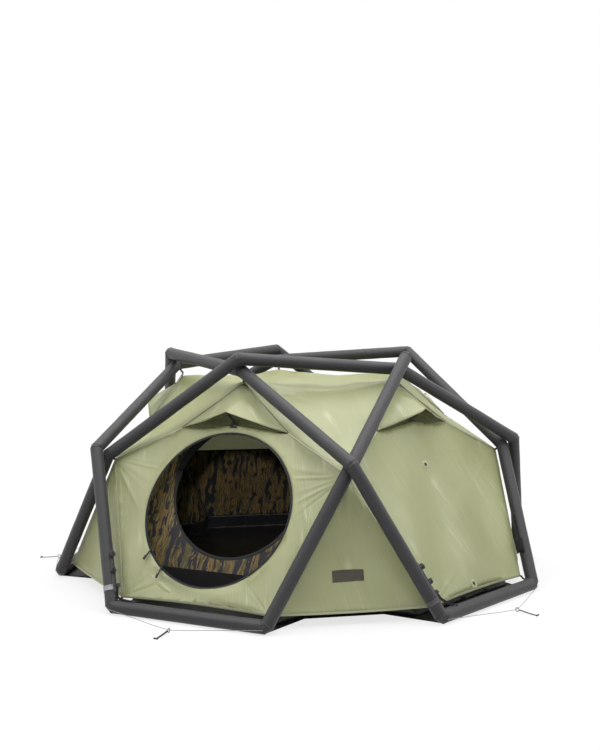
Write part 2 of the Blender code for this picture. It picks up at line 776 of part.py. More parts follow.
def guy_route(side):
    """Route of a guyline from one end of a floor bar, through its ring and back to the other end."""
    beside = BAR_DISTANCE + BASE_HEIGHT + GAP + CORD_RADIUS
    apex = GUY_RING_DISTANCE - GUY_RING_RADIUS + GUY_WIRE_RADIUS + CORD_RADIUS + GAP
    half = [(BAR_HALF_LENGTH * share, beside + out, height) for share, out, height in CORD_FROM_BAR]
    half += [(lateral, apex - short, RING_HEIGHT + rise) for lateral, short, rise in CORD_TO_RING]
    route = [place(side, -x, d, z) for x, d, z in half]
    return route + [place(side, x, d, z) for x, d, z in reversed(half)]


def build_cord(name, route):
    """A cord: a bevelled poly line read from a smooth curve through its route."""
    points = []
    padded = [route[0] * 2 - route[1], *route, route[-1] * 2 - route[-2]]
    for p0, p1, p2, p3 in zip(padded, padded[1:], padded[2:], padded[3:]):
        for i in range(CORD_STEPS):
            t = i / CORD_STEPS
            points.append(0.5 * (2 * p1 + (p2 - p0) * t + (2 * p0 - 5 * p1 + 4 * p2 - p3) * t ** 2
                                 + (3 * p1 - p0 - 3 * p2 + p3) * t ** 3))
    points.append(route[-1])
    curve = bpy.data.curves.new(name, "CURVE")
    curve.dimensions = "3D"
    curve.bevel_depth = CORD_RADIUS
    curve.bevel_resolution = 2
    curve.use_fill_caps = True
    spline = curve.splines.new("POLY")
    spline.points.add(len(points) - 1)
    for spot, point in zip(spline.points, points):
        spot.co = (*point, 1.0)
    curve.materials.append(material("guy_cord"))
    cord = bpy.data.objects.new(name, curve)
    bpy.context.scene.collection.objects.link(cord)


def build_guyline(label, side):
    build_cord(f"guy_cord_{label}", guy_route(side))
    centre = place(side, 0, GUY_RING_DISTANCE, RING_HEIGHT)
    across, out, up = place(side, 1, 0, 0), place(side, 0, 1, 0), Vector((0, 0, 1))
    loops = []
    for i in range(RING_FACETS):
        turn = 2 * pi * i / RING_FACETS
        spoke = out * cos(turn) + up * sin(turn)
        loops.append(circle(centre + spoke * GUY_RING_RADIUS, spoke.cross(across), spoke, GUY_WIRE_RADIUS,
                            WIRE_FACETS))
    strap = skin(f"guy_strap_{label}", loops, "webbing", wrap=True)
    start = centre + out * (GUY_RING_RADIUS - GUY_WIRE_RADIUS / 2)
    end = place(side, 0, GUY_RING_DISTANCE + GUY_STRAP_LENGTH, GUY_STRAP_THICKNESS / 2 + GAP)
    web = block("web", start, end, across, GUY_STRAP_WIDTH, GUY_STRAP_THICKNESS, "webbing")
    hook_height = PEG_HOOK_HEIGHT / 2
    middle = place(side, 0, GUY_RING_DISTANCE + GUY_STRAP_LENGTH, hook_height)
    half = across * PEG_HOOK_LENGTH / 2
    hook = block("hook", middle - half, middle + half, up, PEG_HOOK_HEIGHT, PEG_HOOK_WIDTH, "webbing")
    combine(strap, [web, hook], "UNION")


def main():
    for old in list(bpy.data.objects):
        bpy.data.objects.remove(old)
    build_chambers()
    for index in range(SIDES):
        build_joint(index)
        build_valve_controls(index)
    build_flysheet()
    build_hooks()
    build_props()
    build_doors()
    build_inner_tent()
    build_tub()
    build_groundsheet()
    build_pouch()
    for label, side in GUY_SIDES.items():
        build_guyline(label, side)


main()
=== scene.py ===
"""Inflatable dome tent: cloth, tubes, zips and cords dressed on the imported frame.

Metres, +Z up, origin on the ground below the middle of the tent. The door looks along -Y.
"""

import logging
import random
from dataclasses import dataclass, field
from enum import Enum
from math import atan2, cos, hypot, pi, radians, sin
from typing import Callable, Sequence

import bmesh
import bpy
import numpy as np
from mathutils import Matrix, Vector


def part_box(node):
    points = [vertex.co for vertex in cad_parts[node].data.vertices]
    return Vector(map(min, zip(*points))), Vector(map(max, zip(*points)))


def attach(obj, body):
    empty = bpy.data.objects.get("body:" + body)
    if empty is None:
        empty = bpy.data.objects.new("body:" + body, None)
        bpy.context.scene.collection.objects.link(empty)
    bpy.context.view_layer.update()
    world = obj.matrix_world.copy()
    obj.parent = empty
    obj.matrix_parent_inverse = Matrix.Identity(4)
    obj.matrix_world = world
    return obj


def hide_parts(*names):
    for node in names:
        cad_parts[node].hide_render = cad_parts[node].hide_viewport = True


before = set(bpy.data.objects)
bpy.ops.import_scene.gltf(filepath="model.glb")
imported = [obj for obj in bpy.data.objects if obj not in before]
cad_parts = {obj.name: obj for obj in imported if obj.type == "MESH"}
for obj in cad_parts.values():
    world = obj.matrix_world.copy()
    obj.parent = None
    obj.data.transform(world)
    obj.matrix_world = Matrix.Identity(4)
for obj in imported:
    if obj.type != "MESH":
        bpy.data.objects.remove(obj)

log = logging.getLogger("tent")
UP = Vector((0.0, 0.0, 1.0))
BODY = "tent"
GAP = 0.0003
CLOTH = 0.0008
WELD = 1e-6
Mesh = bmesh.types.BMesh
Vert = bmesh.types.BMVert
Tree = bpy.types.NodeTree
Socket = bpy.types.NodeSocket
Line = tuple[Vector, Vector]


class Hand(Enum):
    """The left or the right of a panel, seen from outside."""

    LEFT = -1
    RIGHT = 1


# Shader helpers


def linear(code: str) -> tuple[float, float, float, float]:
    """Turn an sRGB hex colour, six digits after a hash, into linear light with an alpha of 1."""
    parts = [int(code[i : i + 2], 16) / 255 for i in (1, 3, 5)]
    light = [p / 12.92 if p <= 0.04045 else ((p + 0.055) / 1.055) ** 2.4 for p in parts]
    return light[0], light[1], light[2], 1.0


def add(tree: Tree, kind: str, inputs: dict | None = None, **settings: object) -> bpy.types.Node:
    """Add a shader node with its settings, values and links.

    Args:
        tree: the material's node tree.
        kind: the node's type without its ShaderNode prefix.
        inputs: values, or output sockets to link, by input name or number.
        settings: the node's own attributes.

    Returns:
        The node.
    """
    made = tree.nodes.new("ShaderNode" + kind)
    for name, value in settings.items():
        setattr(made, name, value)
    for key, value in (inputs or {}).items():
        if isinstance(value, bpy.types.NodeSocket):
            tree.links.new(value, made.inputs[key])
        else:
            made.inputs[key].default_value = value
    return made


def bands(pitch: float) -> float:
    """A wave texture's scale for stripes of that pitch in metres."""
    return 2 * pi / (20 * pitch)


@dataclass(frozen=True)
class Surface:
    """A material's nodes while its pattern is drawn; each method gives the new node's output."""

    tree: Tree
    shader: bpy.types.Node

    @property
    def place(self) -> Socket:
        """Object coordinates."""
        return add(self.tree, "TexCoord").outputs["Object"]

    @property
    def lay(self) -> Socket:
        """The cloth's own map, in metres along it."""
        return add(self.tree, "UVMap", uv_map="cloth").outputs["UV"]

    def noise(self, where: Socket, scale: float, detail: float, out: str = "Fac", **more: float) -> Socket:
        """Noise of a scale and detail."""
        return add(self.tree, "TexNoise", {"Vector": where, "Scale": scale, "Detail": detail, **more}).outputs[out]

    def wave(self, where: Socket, pitch: float, way: str, out: str = "Fac", **more: float) -> Socket:
        """Stripes of a pitch in metres across X, Y or the diagonal."""
        return add(self.tree, "TexWave", {"Vector": where, "Scale": bands(pitch), **more},
                   bands_direction=way).outputs[out]

    def grid(self, where: Socket, pitch: float, operation: str, **more: float) -> Socket:
        """Stripes both ways, joined by a Math operation."""
        return self.maths(operation, *(self.wave(where, pitch, way, **more) for way in "XY"))

    def maths(self, operation: str, *values: Socket | float) -> Socket:
        """A Math node."""
        return add(self.tree, "Math", dict(enumerate(values)), operation=operation).outputs[0]

    def span(self, value: Socket, low: float, high: float, start: float = 0.0, end: float = 1.0) -> Socket:
        """Spread the stretch from low to high over start to end."""
        return add(self.tree, "MapRange", {"Value": value, "From Min": low, "From Max": high, "To Min": start,
                                           "To Max": end}).outputs[0]

    def mix(self, fac: Socket | float, low: object, high: object, blend: str = "MIX") -> Socket:
        """Mix two colours."""
        return add(self.tree, "MixRGB", {"Fac": fac, "Color1": low, "Color2": high}, blend_type=blend).outputs[0]

    def drawn(self, where: Socket, scale: Sequence[float], turn: float = 0.0, shift: Sequence[float] = (0, 0, 0),
              kind: str = "TEXTURE") -> Socket:
        """Turn, shift and stretch a map; kind TEXTURE takes the scale as the pattern's size."""
        return add(self.tree, "Mapping", {"Vector": where, "Location": shift, "Rotation": (0, 0, turn),
                                          "Scale": scale}, vector_type=kind).outputs[0]

    def bump(self, height: Socket, strength: float, distance: float, under: Socket | None = None) -> Socket:
        """A relief's normal, over another one if given."""
        below = {"Normal": under} if under is not None else {}
        return add(self.tree, "Bump", {"Height": height, "Strength": strength, "Distance": distance,
                                       **below}).outputs["Normal"]

    def give(self, name: str, value: Socket) -> None:
        """Link an output to one of the shader's inputs."""
        self.tree.links.new(value, self.shader.inputs[name])

    def tint(self, fac: Socket, low: str, high: str) -> None:
        """Colour the shader between two hex colours."""
        self.give("Base Color", self.mix(fac, linear(low), linear(high)))


@dataclass(frozen=True)
class Finish:
    """A surface: its name, base colour and shine."""

    name: str
    colour: str
    roughness: float = 0.6
    metallic: float = 0.0
    specular: float = 0.5

    def material(self) -> bpy.types.Material:
        """The Blender material, made on first use."""
        found = bpy.data.materials.get(self.name)
        if found:
            return found
        made = bpy.data.materials.new(self.name)
        made.use_nodes = True
        shader = made.node_tree.nodes["Principled BSDF"]
        for name, value in (("Base Color", linear(self.colour)), ("Roughness", self.roughness),
                            ("Metallic", self.metallic), ("Specular IOR Level", self.specular)):
            shader.inputs[name].default_value = value
        self.detail(Surface(made.node_tree, shader))
        return made

    def detail(self, on: Surface) -> None:
        """Add the surface's pattern and relief to its shader."""


@dataclass(frozen=True)
class WovenCloth(Finish):
    """Plain-woven synthetic cloth: crossing yarns give a fine relief, dye and soiling a faint mottle.

    Its yarns are too fine to show, so they are drawn 1.2 to 2.4 mm apart instead of 0.3 to 1 mm.
    """

    pale: str = "#808080"
    thread: float = 0.0016
    relief: float = 0.25
    mottle: float = 14.0

    def weave(self, on: Surface) -> Socket:
        """Height of the crossing yarns on the cloth's own map."""
        return on.grid(on.lay, self.thread, "MULTIPLY", Distortion=0.6, Detail=1.0, **{"Detail Scale": 0.3})

    def detail(self, on: Surface) -> None:
        """Weave relief with a mottled dye."""
        on.tint(on.noise(on.place, self.mottle, 6.0, Roughness=0.6), self.colour, self.pale)
        on.give("Normal", on.bump(self.weave(on), self.relief, 0.0004))
        on.shader.inputs["Sheen Weight"].default_value = 0.1


@dataclass(frozen=True)
class RipstopCloth(WovenCloth):
    """Coated ripstop polyester: thin and taut, with a grid of thicker yarns, fine pull lines, fold lines painted pale
    as highlights and a little glow.
    """

    cell: float = 0.006
    glow: float = 0.4
    # Pale colour of the painted highlights along the fold lines, also used for the light that comes through.
    fold: str = "#f4f6dc"

    def folds(self, on: Surface, lay: Socket) -> Socket:
        """Thin lines, 100 to 400 mm long, where the coating was folded in its bag; their pale tint is a painted
        highlight where they catch the light.
        """
        lines = []
        for turn, wide, shift in ((0.34, 0.030, 0.0), (0.20, 0.046, 5.0)):
            noise = on.noise(on.drawn(lay, (wide, 1.10, 1), turn, (shift, shift, 0)), 1.0, 0.0)
            side = on.maths("ABSOLUTE", on.maths("SUBTRACT", noise, 0.5))
            lines.append(on.span(side, 0.0, 0.020, 1.0, 0.0))
        patch = on.noise(on.drawn(lay, (0.07, 0.42, 1), 0.36, (3, 1, 0)), 1.0, 1.0)
        return on.maths("MULTIPLY", on.maths("MAXIMUM", *lines), on.span(patch, 0.48, 0.74, 0.0, 0.55))

    def detail(self, on: Surface) -> None:
        """Ripstop grid, long pull lines, mottled coating, painted highlights along the fold lines and light that comes
        through.
        """
        lay = on.lay
        folds = self.folds(on, lay)
        cloud = on.noise(on.place, self.mottle, 4.0, Roughness=0.55)
        base = on.mix(cloud, linear(self.colour), linear(self.pale))
        # Painted highlight: the cloth's colour is lifted towards the pale fold colour along the fold lines.
        on.give("Base Color", on.mix(folds, base, linear(self.fold)))
        pull = on.noise(on.drawn(lay, (0.016, 0.30, 1), 0.33), 1.0, 3.0, Distortion=0.25)
        fine = on.bump(on.span(on.grid(lay, self.cell, "MAXIMUM"), 0.86, 1.0), self.relief, 0.0003)
        normal = on.bump(pull, 0.5, 0.004, on.bump(folds, 0.6, 0.0012, fine))
        on.give("Normal", normal)
        through = add(on.tree, "BsdfTranslucent", {"Color": linear(self.fold), "Normal": normal})
        mix = add(on.tree, "MixShader", {0: self.glow, 1: on.shader.outputs[0], 2: through.outputs[0]})
        on.tree.links.new(mix.outputs[0], on.tree.nodes["Material Output"].inputs["Surface"])


@dataclass(frozen=True)
class StripedCamouflage(WovenCloth):
    """Printed cotton blend in brush strokes: dark stripes and thin ochre ones down a brown ground."""

    stroke: str = "#7b613a"
    black: str = "#15141a"

    def detail(self, on: Surface) -> None:
        """Upright black stripes about 60 mm apart, and between them ochre hatching 8 mm wide."""
        bent = on.mix(0.07, on.lay, on.noise(on.place, 9.0, 1.5, "Color"), "ADD")
        dark, hatched, mossy = (
            on.span(on.noise(on.drawn(bent, (across, down, 40.0), 0.12, (across, down, low * 9), "POINT"), 1.0, 2.2,
                             Roughness=0.5, Distortion=0.3), low, high)
            for across, down, low, high in ((30.0, 3.8, 0.532, 0.552), (40.0, 6.0, 0.42, 0.50),
                                            (34.0, 4.6, 0.46, 0.52)))
        grain = on.wave(on.drawn(bent, (1.0, 0.40, 1.0), kind="POINT"), 0.017, "X", Distortion=9.0, Detail=2.5,
                        **{"Detail Scale": 1.6, "Detail Roughness": 0.65})
        hair = on.maths("MULTIPLY", on.span(grain, 0.60, 0.90), hatched)
        ground = on.mix(mossy, linear(self.colour), linear(self.pale))
        on.give("Base Color", on.mix(dark, on.mix(hair, ground, linear(self.stroke)), linear(self.black)))
        on.give("Normal", on.bump(self.weave(on), self.relief, 0.0004))


@dataclass(frozen=True)
class NetCloth(WovenCloth):
    """Knitted insect net: holes of about 1 mm, drawn 8 to 10 mm apart so that the net still shows as one."""

    cell: float = 0.010
    open: float = 0.62

    def detail(self, on: Surface) -> None:
        """A grid of threads with clear holes between them."""
        thread = on.grid(on.lay, self.cell, "MAXIMUM")
        on.give("Alpha", on.span(thread, self.open, self.open + 0.18))
        on.give("Normal", on.bump(thread, 0.4, 0.0006))


@dataclass(frozen=True)
class RibbedTape(Finish):
    """Woven polyester tape or webbing: ribs across its length and the mottle of its yarns."""

    pale: str = "#3a3a3c"
    rib: float = 0.0022

    def detail(self, on: Surface) -> None:
        """Ribs across the tape, broken up by single yarns."""
        lay = on.lay
        ribs = on.wave(lay, self.rib, "Y", "Color", Distortion=0.4)
        mixed = on.mix(0.5, ribs, on.noise(lay, 900.0, 2.0, "Color"))
        on.tint(mixed, self.colour, self.pale)
        on.give("Normal", on.bump(mixed, 0.5, 0.0004))


@dataclass(frozen=True)
class BraidedCord(Finish):
    """Braided polyester cord: slanting strands that catch the light, and a fleck yarn."""

    pale: str = "#f0f0ec"
    strand: float = 0.0012

    def detail(self, on: Surface) -> None:
        """Slanting strands all over the cord, in object space because its turns are too small to map."""
        braid = on.wave(on.place, self.strand, "DIAGONAL", Distortion=1.0)
        on.tint(braid, self.colour, self.pale)
        on.give("Normal", on.bump(braid, 0.5, 0.0003))


@dataclass(frozen=True)
class MouldedPlastic(Finish):
    """Injection-moulded nylon or ABS: an even colour with the mould's fine spark-eroded grain.

    The grain is too fine to show, so it is drawn 0.7 mm wide instead of about 0.1 mm.
    """

    pale: str = "#2c2c2e"
    grain: float = 0.0007

    def detail(self, on: Surface) -> None:
        """Grain relief and small changes in shine."""
        place = on.place
        cloud = on.noise(place, 60.0, 3.0)
        on.tint(cloud, self.colour, self.pale)
        on.give("Roughness", on.span(cloud, 0.0, 1.0, self.roughness - 0.08, self.roughness + 0.08))
        on.give("Normal", on.bump(on.noise(place, 1 / self.grain, 2.0), 0.15, 0.0002))


@dataclass(frozen=True)
class CoatedCloth(WovenCloth):
    """PU-coated floor cloth: near black, slightly shiny, with soft handling creases."""

    def detail(self, on: Surface) -> None:
        """Crumple marks over the weave, and patches where the coating is duller."""
        place = on.place
        crease = add(on.tree, "TexVoronoi", {"Vector": place, "Scale": 9.0}, feature="DISTANCE_TO_EDGE")
        dust = on.noise(place, 6.0, 6.0)
        on.tint(dust, self.colour, self.pale)
        fine = on.bump(self.weave(on), self.relief, 0.0003)
        on.give("Normal", on.bump(on.span(crease.outputs["Distance"], 0.0, 0.12), 0.25, 0.002, fine))
        on.give("Roughness", on.span(dust, 0.0, 1.0, self.roughness - 0.1, self.roughness + 0.12))


@dataclass(frozen=True)
class LacqueredMetal(Finish):
    """Die-cast zinc with black lacquer: smooth, with the lacquer rubbed thin in places."""

    worn: str = "#6a6a6c"

    def detail(self, on: Surface) -> None:
        """Rubbed patches in the lacquer."""
        on.tint(on.span(on.noise(on.place, 240.0, 4.0), 0.6, 0.75), self.colour, self.worn)


SLEEVE = WovenCloth("woven_tube_cloth", "#212123", 0.5, specular=0.36, pale="#2c2c2e", thread=0.0024, relief=0.5,
                    mottle=9.0)
FLY = RipstopCloth("ripstop_fly_cloth", "#92956a", 0.34, specular=0.85, pale="#b6b990", relief=0.2, mottle=3.0)
CAMOUFLAGE = StripedCamouflage("printed_inner_cloth", "#5c4a28", 0.85, pale="#423f26", thread=0.0012)
NET = NetCloth("insect_net", "#b4b896", 0.8, open=0.52)
# Painted shade: the vent net is dark olive and nearly opaque, so that it stands for the shade under the hoods.
VENT_NET_PAINTED_SHADE = NetCloth("vent_net_painted_shade", "#4c4f33", 0.85, cell=0.008, open=0.2)
FLOOR_CLOTH = CoatedCloth("coated_floor_cloth", "#19191b", 0.46, pale="#28282b")
LINING = CoatedCloth("black_lining", "#0a0a0b", 0.85, specular=0.12, pale="#121214")
TAPE = RibbedTape("dark_tape", "#202124", 0.7, specular=0.25, pale="#323338")
WEBBING = RibbedTape("black_webbing", "#121213", 0.75, specular=0.25, pale="#242426")
GREY_WEBBING = RibbedTape("grey_cuff_webbing", "#828284", 0.7, pale="#9c9c9e")
SAGE_TAPE = RibbedTape("sage_seam_tape", "#989a78", 0.6, pale="#b4b696")
ORANGE_TAPE = RibbedTape("rust_tab_tape", "#b4600f", 0.7, pale="#d98a2b")
DARK_CUFF = RibbedTape("dark_cuff_webbing", "#39393b", 0.7, pale="#4c4c4e")
LABEL = RibbedTape("label_cloth", "#403d35", 0.7, specular=0.3, pale="#504c42", rib=0.0015)
CORD = BraidedCord("pale_guy_cord", "#70706e", 0.7, pale="#92928f")
BLACK_CORD = BraidedCord("black_cord", "#121213", 0.7, pale="#2b2b2d")
VALVE_PLASTIC = MouldedPlastic("black_valve_nylon", "#131315", 0.5, specular=0.35)
STRIP_PLASTIC = MouldedPlastic("grey_strip_plastic", "#2e2e30", 0.5, pale="#3c3c3f")
SLIDER_METAL = LacqueredMetal("lacquered_zinc", "#19191b", 0.38, 0.7)


# Geometry helpers


def aim(centre: Vector, axis: Vector, toward: Vector) -> Matrix:
    """A frame at a point: its Z along an axis and its X as near as can be to a direction."""
    z = axis.normalized()
    x = (toward - z * toward.dot(z)).normalized()
    return Matrix.Translation(centre) @ Matrix((x, z.cross(x), z)).transposed().to_4x4()


def shifted(place: Matrix, *offset: float) -> Matrix:
    """A frame moved along its own axes."""
    return place @ Matrix.Translation(offset)


def between(a: Vector, b: Vector, count: int) -> list[Vector]:
    """Evenly spaced points from one point to another, in count steps."""
    return [a.lerp(b, k / count) for k in range(count + 1)]


def pairs(points: Sequence[Vector]) -> list[Line]:
    """The edges of a closed outline."""
    return list(zip(points, [*points[1:], points[0]]))


def start_mesh() -> Mesh:
    """An empty bmesh whose vertices carry their place on the cloth."""
    bm = bmesh.new()
    bm.verts.layers.float_vector.new("lay")
    return bm


def loft(bm: Mesh, ring: Sequence[Vert], frames: Sequence[Matrix], capped: bool = True) -> list[list[Vert]]:
    """Draw a closed ring along a row of frames by extruding and moving it.

    Args:
        bm: the mesh that holds the ring.
        ring: its vertices in order, made in the frames' own XY plane.
        frames: where each copy of the ring goes.
        capped: whether the two ends are closed.

    Returns:
        The rings in order.
    """
    lay = bm.verts.layers.float_vector["lay"]
    first = list(ring)
    girth = 0.0
    for vert, after in pairs(first):
        vert[lay] = Vector((girth, 0.0, 0.0))
        girth += (after.co - vert.co).length
    bmesh.ops.transform(bm, matrix=frames[0], verts=first)
    rings, along = [first], 0.0
    for before, after in zip(frames, frames[1:]):
        last = rings[-1]
        made = bmesh.ops.extrude_edge_only(bm, edges=[bm.edges.get(pair) for pair in pairs(last)])["geom"]
        fresh = {v for v in made if isinstance(v, Vert)}
        ordered = [next(e.other_vert(v) for e in v.link_edges if e.other_vert(v) in fresh) for v in last]
        bmesh.ops.transform(bm, matrix=after @ before.inverted(), verts=ordered)
        along += (after.translation - before.translation).length
        for vert in ordered:
            vert[lay] = Vector((vert[lay].x, along, 0.0))
        rings.append(ordered)
    if capped:
        close_ends(bm, rings)
    return rings


def close_ends(bm: Mesh, rings: Sequence[Sequence[Vert]]) -> None:
    """Fill the first and the last ring."""
    for end in (rings[0], rings[-1]):
        bmesh.ops.contextual_create(bm, geom=end)


def circle_ring(bm: Mesh, radius: float, segments: int) -> list[Vert]:
    """A circle's vertices in order, about the origin."""
    return bmesh.ops.create_circle(bm, cap_ends=False, segments=segments, radius=radius)["verts"]


def band_ring(bm: Mesh, width: float, thickness: float, segments: int = 12, square: float = 0.35) -> list[Vert]:
    """A rounded flat section: a circle pressed to a strap's width and thickness.

    Args:
        bm: the mesh to make it in.
        width: its size along X.
        thickness: its size along Y.
        segments: how many vertices it has.
        square: how far the flanks are flattened, as a power of the circle.

    Returns:
        The ring's vertices in order.
    """
    ring = circle_ring(bm, 1.0, segments)
    for vert in ring:
        for axis, size in ((0, width), (1, thickness)):
            value = vert.co[axis]
            vert.co[axis] = (abs(value) ** square) * (1 if value > 0 else -1) * size / 2
    return ring


def smooth_path(points: Sequence[Vector], steps: int) -> list[Vector]:
    """Read a smooth curve through its points, in that many steps for each stretch."""
    path = []
    padded = [points[0] * 2 - points[1], *points, points[-1] * 2 - points[-2]]
    for p0, p1, p2, p3 in zip(padded, padded[1:], padded[2:], padded[3:]):
        for i in range(steps):
            t = i / steps
            path.append(0.5 * (2 * p1 + (p2 - p0) * t + (2 * p0 - 5 * p1 + 4 * p2 - p3) * t**2
                               + (3 * p1 - p0 - 3 * p2 + p3) * t**3))
    return [*path, points[-1].copy()]


def frames_along(points: Sequence[Vector], toward: Vector | Sequence[Vector]) -> list[Matrix]:
    """Frames along a path that face along it, their X towards one direction, or one for each point."""
    last = len(points) - 1
    return [aim(point, points[min(i + 1, last)] - points[max(i - 1, 0)],
                toward if isinstance(toward, Vector) else toward[i]) for i, point in enumerate(points)]


def wire(bm: Mesh, points: Sequence[Vector], radius: float, segments: int = 8, toward: Vector = UP) -> None:
    """Add a round wire or cord with closed ends along a path."""
    loft(bm, circle_ring(bm, radius, segments), frames_along(points, toward))


def strap(bm: Mesh, points: Sequence[Vector], width_way: Vector | Sequence[Vector], width: float,
          thickness: float, segments: int = 12) -> None:
    """Add a flat strap with rounded edges along a path, its width in the given direction."""
    loft(bm, band_ring(bm, width, thickness, segments), frames_along(points, width_way))


def block(bm: Mesh, place: Matrix, size: tuple[float, float, float], bevel: float, segments: int = 2) -> None:
    """Add a box with rounded edges, its middle and its sides given by a frame."""
    made = bmesh.ops.create_cube(bm, size=1.0, matrix=place @ Matrix.Diagonal((*size, 1.0)))["verts"]
    bmesh.ops.bevel(bm, geom=list({e for v in made for e in v.link_edges}), offset=bevel, affect="EDGES",
                    segments=segments, profile=0.5, material=-1)


def turned(bm: Mesh, profile: Sequence[tuple[float, float]], place: Matrix, segments: int,
           closed: bool = False) -> list[Vert]:
    """Spin a profile round a frame's Z.

    Args:
        bm: the mesh to add it to.
        profile: (radius, height) pairs, from the axis out and back, or round a closed section.
        place: the frame whose Z is the axis.
        segments: pieces in the turn.
        closed: whether the profile ends where it starts, so that its ends are welded.

    Returns:
        The turned shape's vertices.
    """
    spots = [bm.verts.new(Vector((radius, 0.0, height))) for radius, height in profile]
    edges = [bm.edges.new(pair) for pair in zip(spots, spots[1:])]
    bmesh.ops.spin(bm, geom=[*spots, *edges], cent=(0, 0, 0), axis=(0, 0, 1), dvec=(0, 0, 0), angle=2 * pi,
                   steps=segments, use_merge=True, use_duplicate=False)
    island, rim = {spots[0]}, [spots[0]]
    while rim:
        for edge in rim.pop().link_edges:
            fresh = [v for v in edge.verts if v not in island]
            island.update(fresh)
            rim += fresh
    kept = list(island)
    bmesh.ops.transform(bm, matrix=place, verts=kept)
    if closed:
        bmesh.ops.remove_doubles(bm, verts=bm.verts, dist=WELD)
    return kept


def ring_map(bm: Mesh, place: Matrix, radius: float, standing: bool = False) -> None:
    """Lay a ring's cloth map along its round; a standing band runs across by height, a flat one by radius."""
    lay = bm.verts.layers.float_vector["lay"]
    back = place.inverted()
    for vert in bm.verts:
        rel = back @ vert.co
        vert[lay] = Vector((rel.z if standing else hypot(rel.x, rel.y), radius * atan2(rel.y, rel.x), 0))


def map_cloth(bm: Mesh) -> None:
    """Lay the cloth map from the vertices' own places, closing it where a round ends."""
    lay = bm.verts.layers.float_vector["lay"]
    uv = bm.loops.layers.uv.new("cloth")
    reach = {}
    for vert in bm.verts:
        key = round(vert[lay].y, 5)
        reach[key] = max(reach.get(key, 0.0), vert[lay].x)
    for face in bm.faces:
        rounds = [loop.vert[lay].x for loop in face.loops]
        full = max(reach[round(loop.vert[lay].y, 5)] for loop in face.loops)
        wraps = len(rounds) == 4 and max(rounds) - min(rounds) > full / 2
        for loop, turn in zip(face.loops, rounds):
            jump = full * 1.04 if wraps and turn < full / 2 else 0.0
            loop[uv].uv = (turn + jump, loop.vert[lay].y)


def into_scene(name: str, data: bpy.types.ID, place: Matrix | None = None) -> bpy.types.Object:
    """Put a mesh, curve, lamp or camera into the scene."""
    made = bpy.data.objects.new(name, data)
    if place is not None:
        made.matrix_world = place
    bpy.context.scene.collection.objects.link(made)
    return made


def hand_over(piece: bpy.types.Object, body: str, replaces: Sequence[str]) -> bpy.types.Object:
    """Hang a piece on the body it rides on, hide the solids it stands for and log it."""
    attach(piece, body)
    if replaces:
        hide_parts(*replaces)
    count = len(piece.data.polygons) if piece.type == "MESH" else 0
    log.info("%s: %d faces on %s", piece.name, count, body)
    return piece


def finish_piece(name: str, bm: Mesh, finish: Finish, body: str = BODY,
                 replaces: Sequence[str] = (), sharp: float = 40.0) -> bpy.types.Object:
    """Turn a bmesh into a named piece that rides on a body.

    Args:
        name: the piece's name.
        bm: its mesh, which is freed.
        finish: its surface.
        body: the CAD body that it moves with.
        replaces: CAD nodes that it stands for.
        sharp: the angle in degrees past which an edge is shaded sharp.

    Returns:
        The piece's object.
    """
    bmesh.ops.recalc_face_normals(bm, faces=bm.faces)
    map_cloth(bm)
    mesh = bpy.data.meshes.new(name)
    bm.to_mesh(mesh)
    bm.free()
    mesh.materials.append(finish.material())
    mesh.shade_smooth()
    mesh.set_sharp_from_angle(angle=radians(sharp))
    return hand_over(into_scene(name, mesh), body, replaces)


# The tent's plan, as its frame has it


@dataclass(frozen=True)
class Plan:
    """Where the frame's tubes run and where the crossings and corners are."""

    sides: int = 5
    front: float = -90.0
    spread: float = 18.0
    base_radius: float = 1.470
    waist_bulge: float = 0.0049
    waist_height: float = 0.799
    crown_radius: float = 0.801
    crown_height: float = 1.299
    tube_radius: float = 0.036
    tube_facets: int = 16
    half_bend: float = 24.0
    play: float = 0.0005

    @property
    def base_height(self) -> float:
        """Height of the floor bars' centreline, at which a round tube rests on the ground."""
        return self.tube_radius * cos(pi / self.tube_facets)

    @property
    def bar_distance(self) -> float:
        """Distance of a floor bar from the middle."""
        return self.base_radius * cos(radians(self.spread))

    @property
    def bar_half(self) -> float:
        """Half the length of a floor bar."""
        return self.base_radius * sin(radians(self.spread))

    @property
    def waist_radius(self) -> float:
        """Distance of the waist crossings from the axis."""
        slope = (self.bar_distance - self.crown_radius) / (self.crown_height - self.base_height)
        distance = self.bar_distance - slope * (self.waist_height - self.base_height)
        return distance / cos(pi / self.sides) + self.waist_bulge

    @property
    def clearance(self) -> float:
        """Distance from a crossing to the centreline of the tube that bends over or under it."""
        return self.tube_radius / cos(radians(self.half_bend)) + self.play

    def place(self, side: float, lateral: float, distance: float, height: float) -> Vector:
        """A point given by how far right of a side's middle, how far out and how high it is."""
        a = radians(self.front + 360 / self.sides * side)
        return Vector((distance * cos(a) - lateral * sin(a), distance * sin(a) + lateral * cos(a), height))

    def corner(self, side: int, hand: Hand) -> Vector:
        """The end of a side's floor bar."""
        return self.place(side, hand.value * self.bar_half, self.bar_distance, self.base_height)

    def waist(self, side: int) -> Vector:
        """The crossing left of a side."""
        return self.place(side - 0.5, 0, self.waist_radius, self.waist_height)

    def crown(self, side: int) -> Vector:
        """The crossing above a side."""
        return self.place(side, 0, self.crown_radius, self.crown_height)

    def over(self, node: Vector, way: int = 1) -> Vector:
        """The point outside a crossing, or inside it with a way of -1."""
        return node + node.normalized() * way * self.clearance


PLAN = Plan()


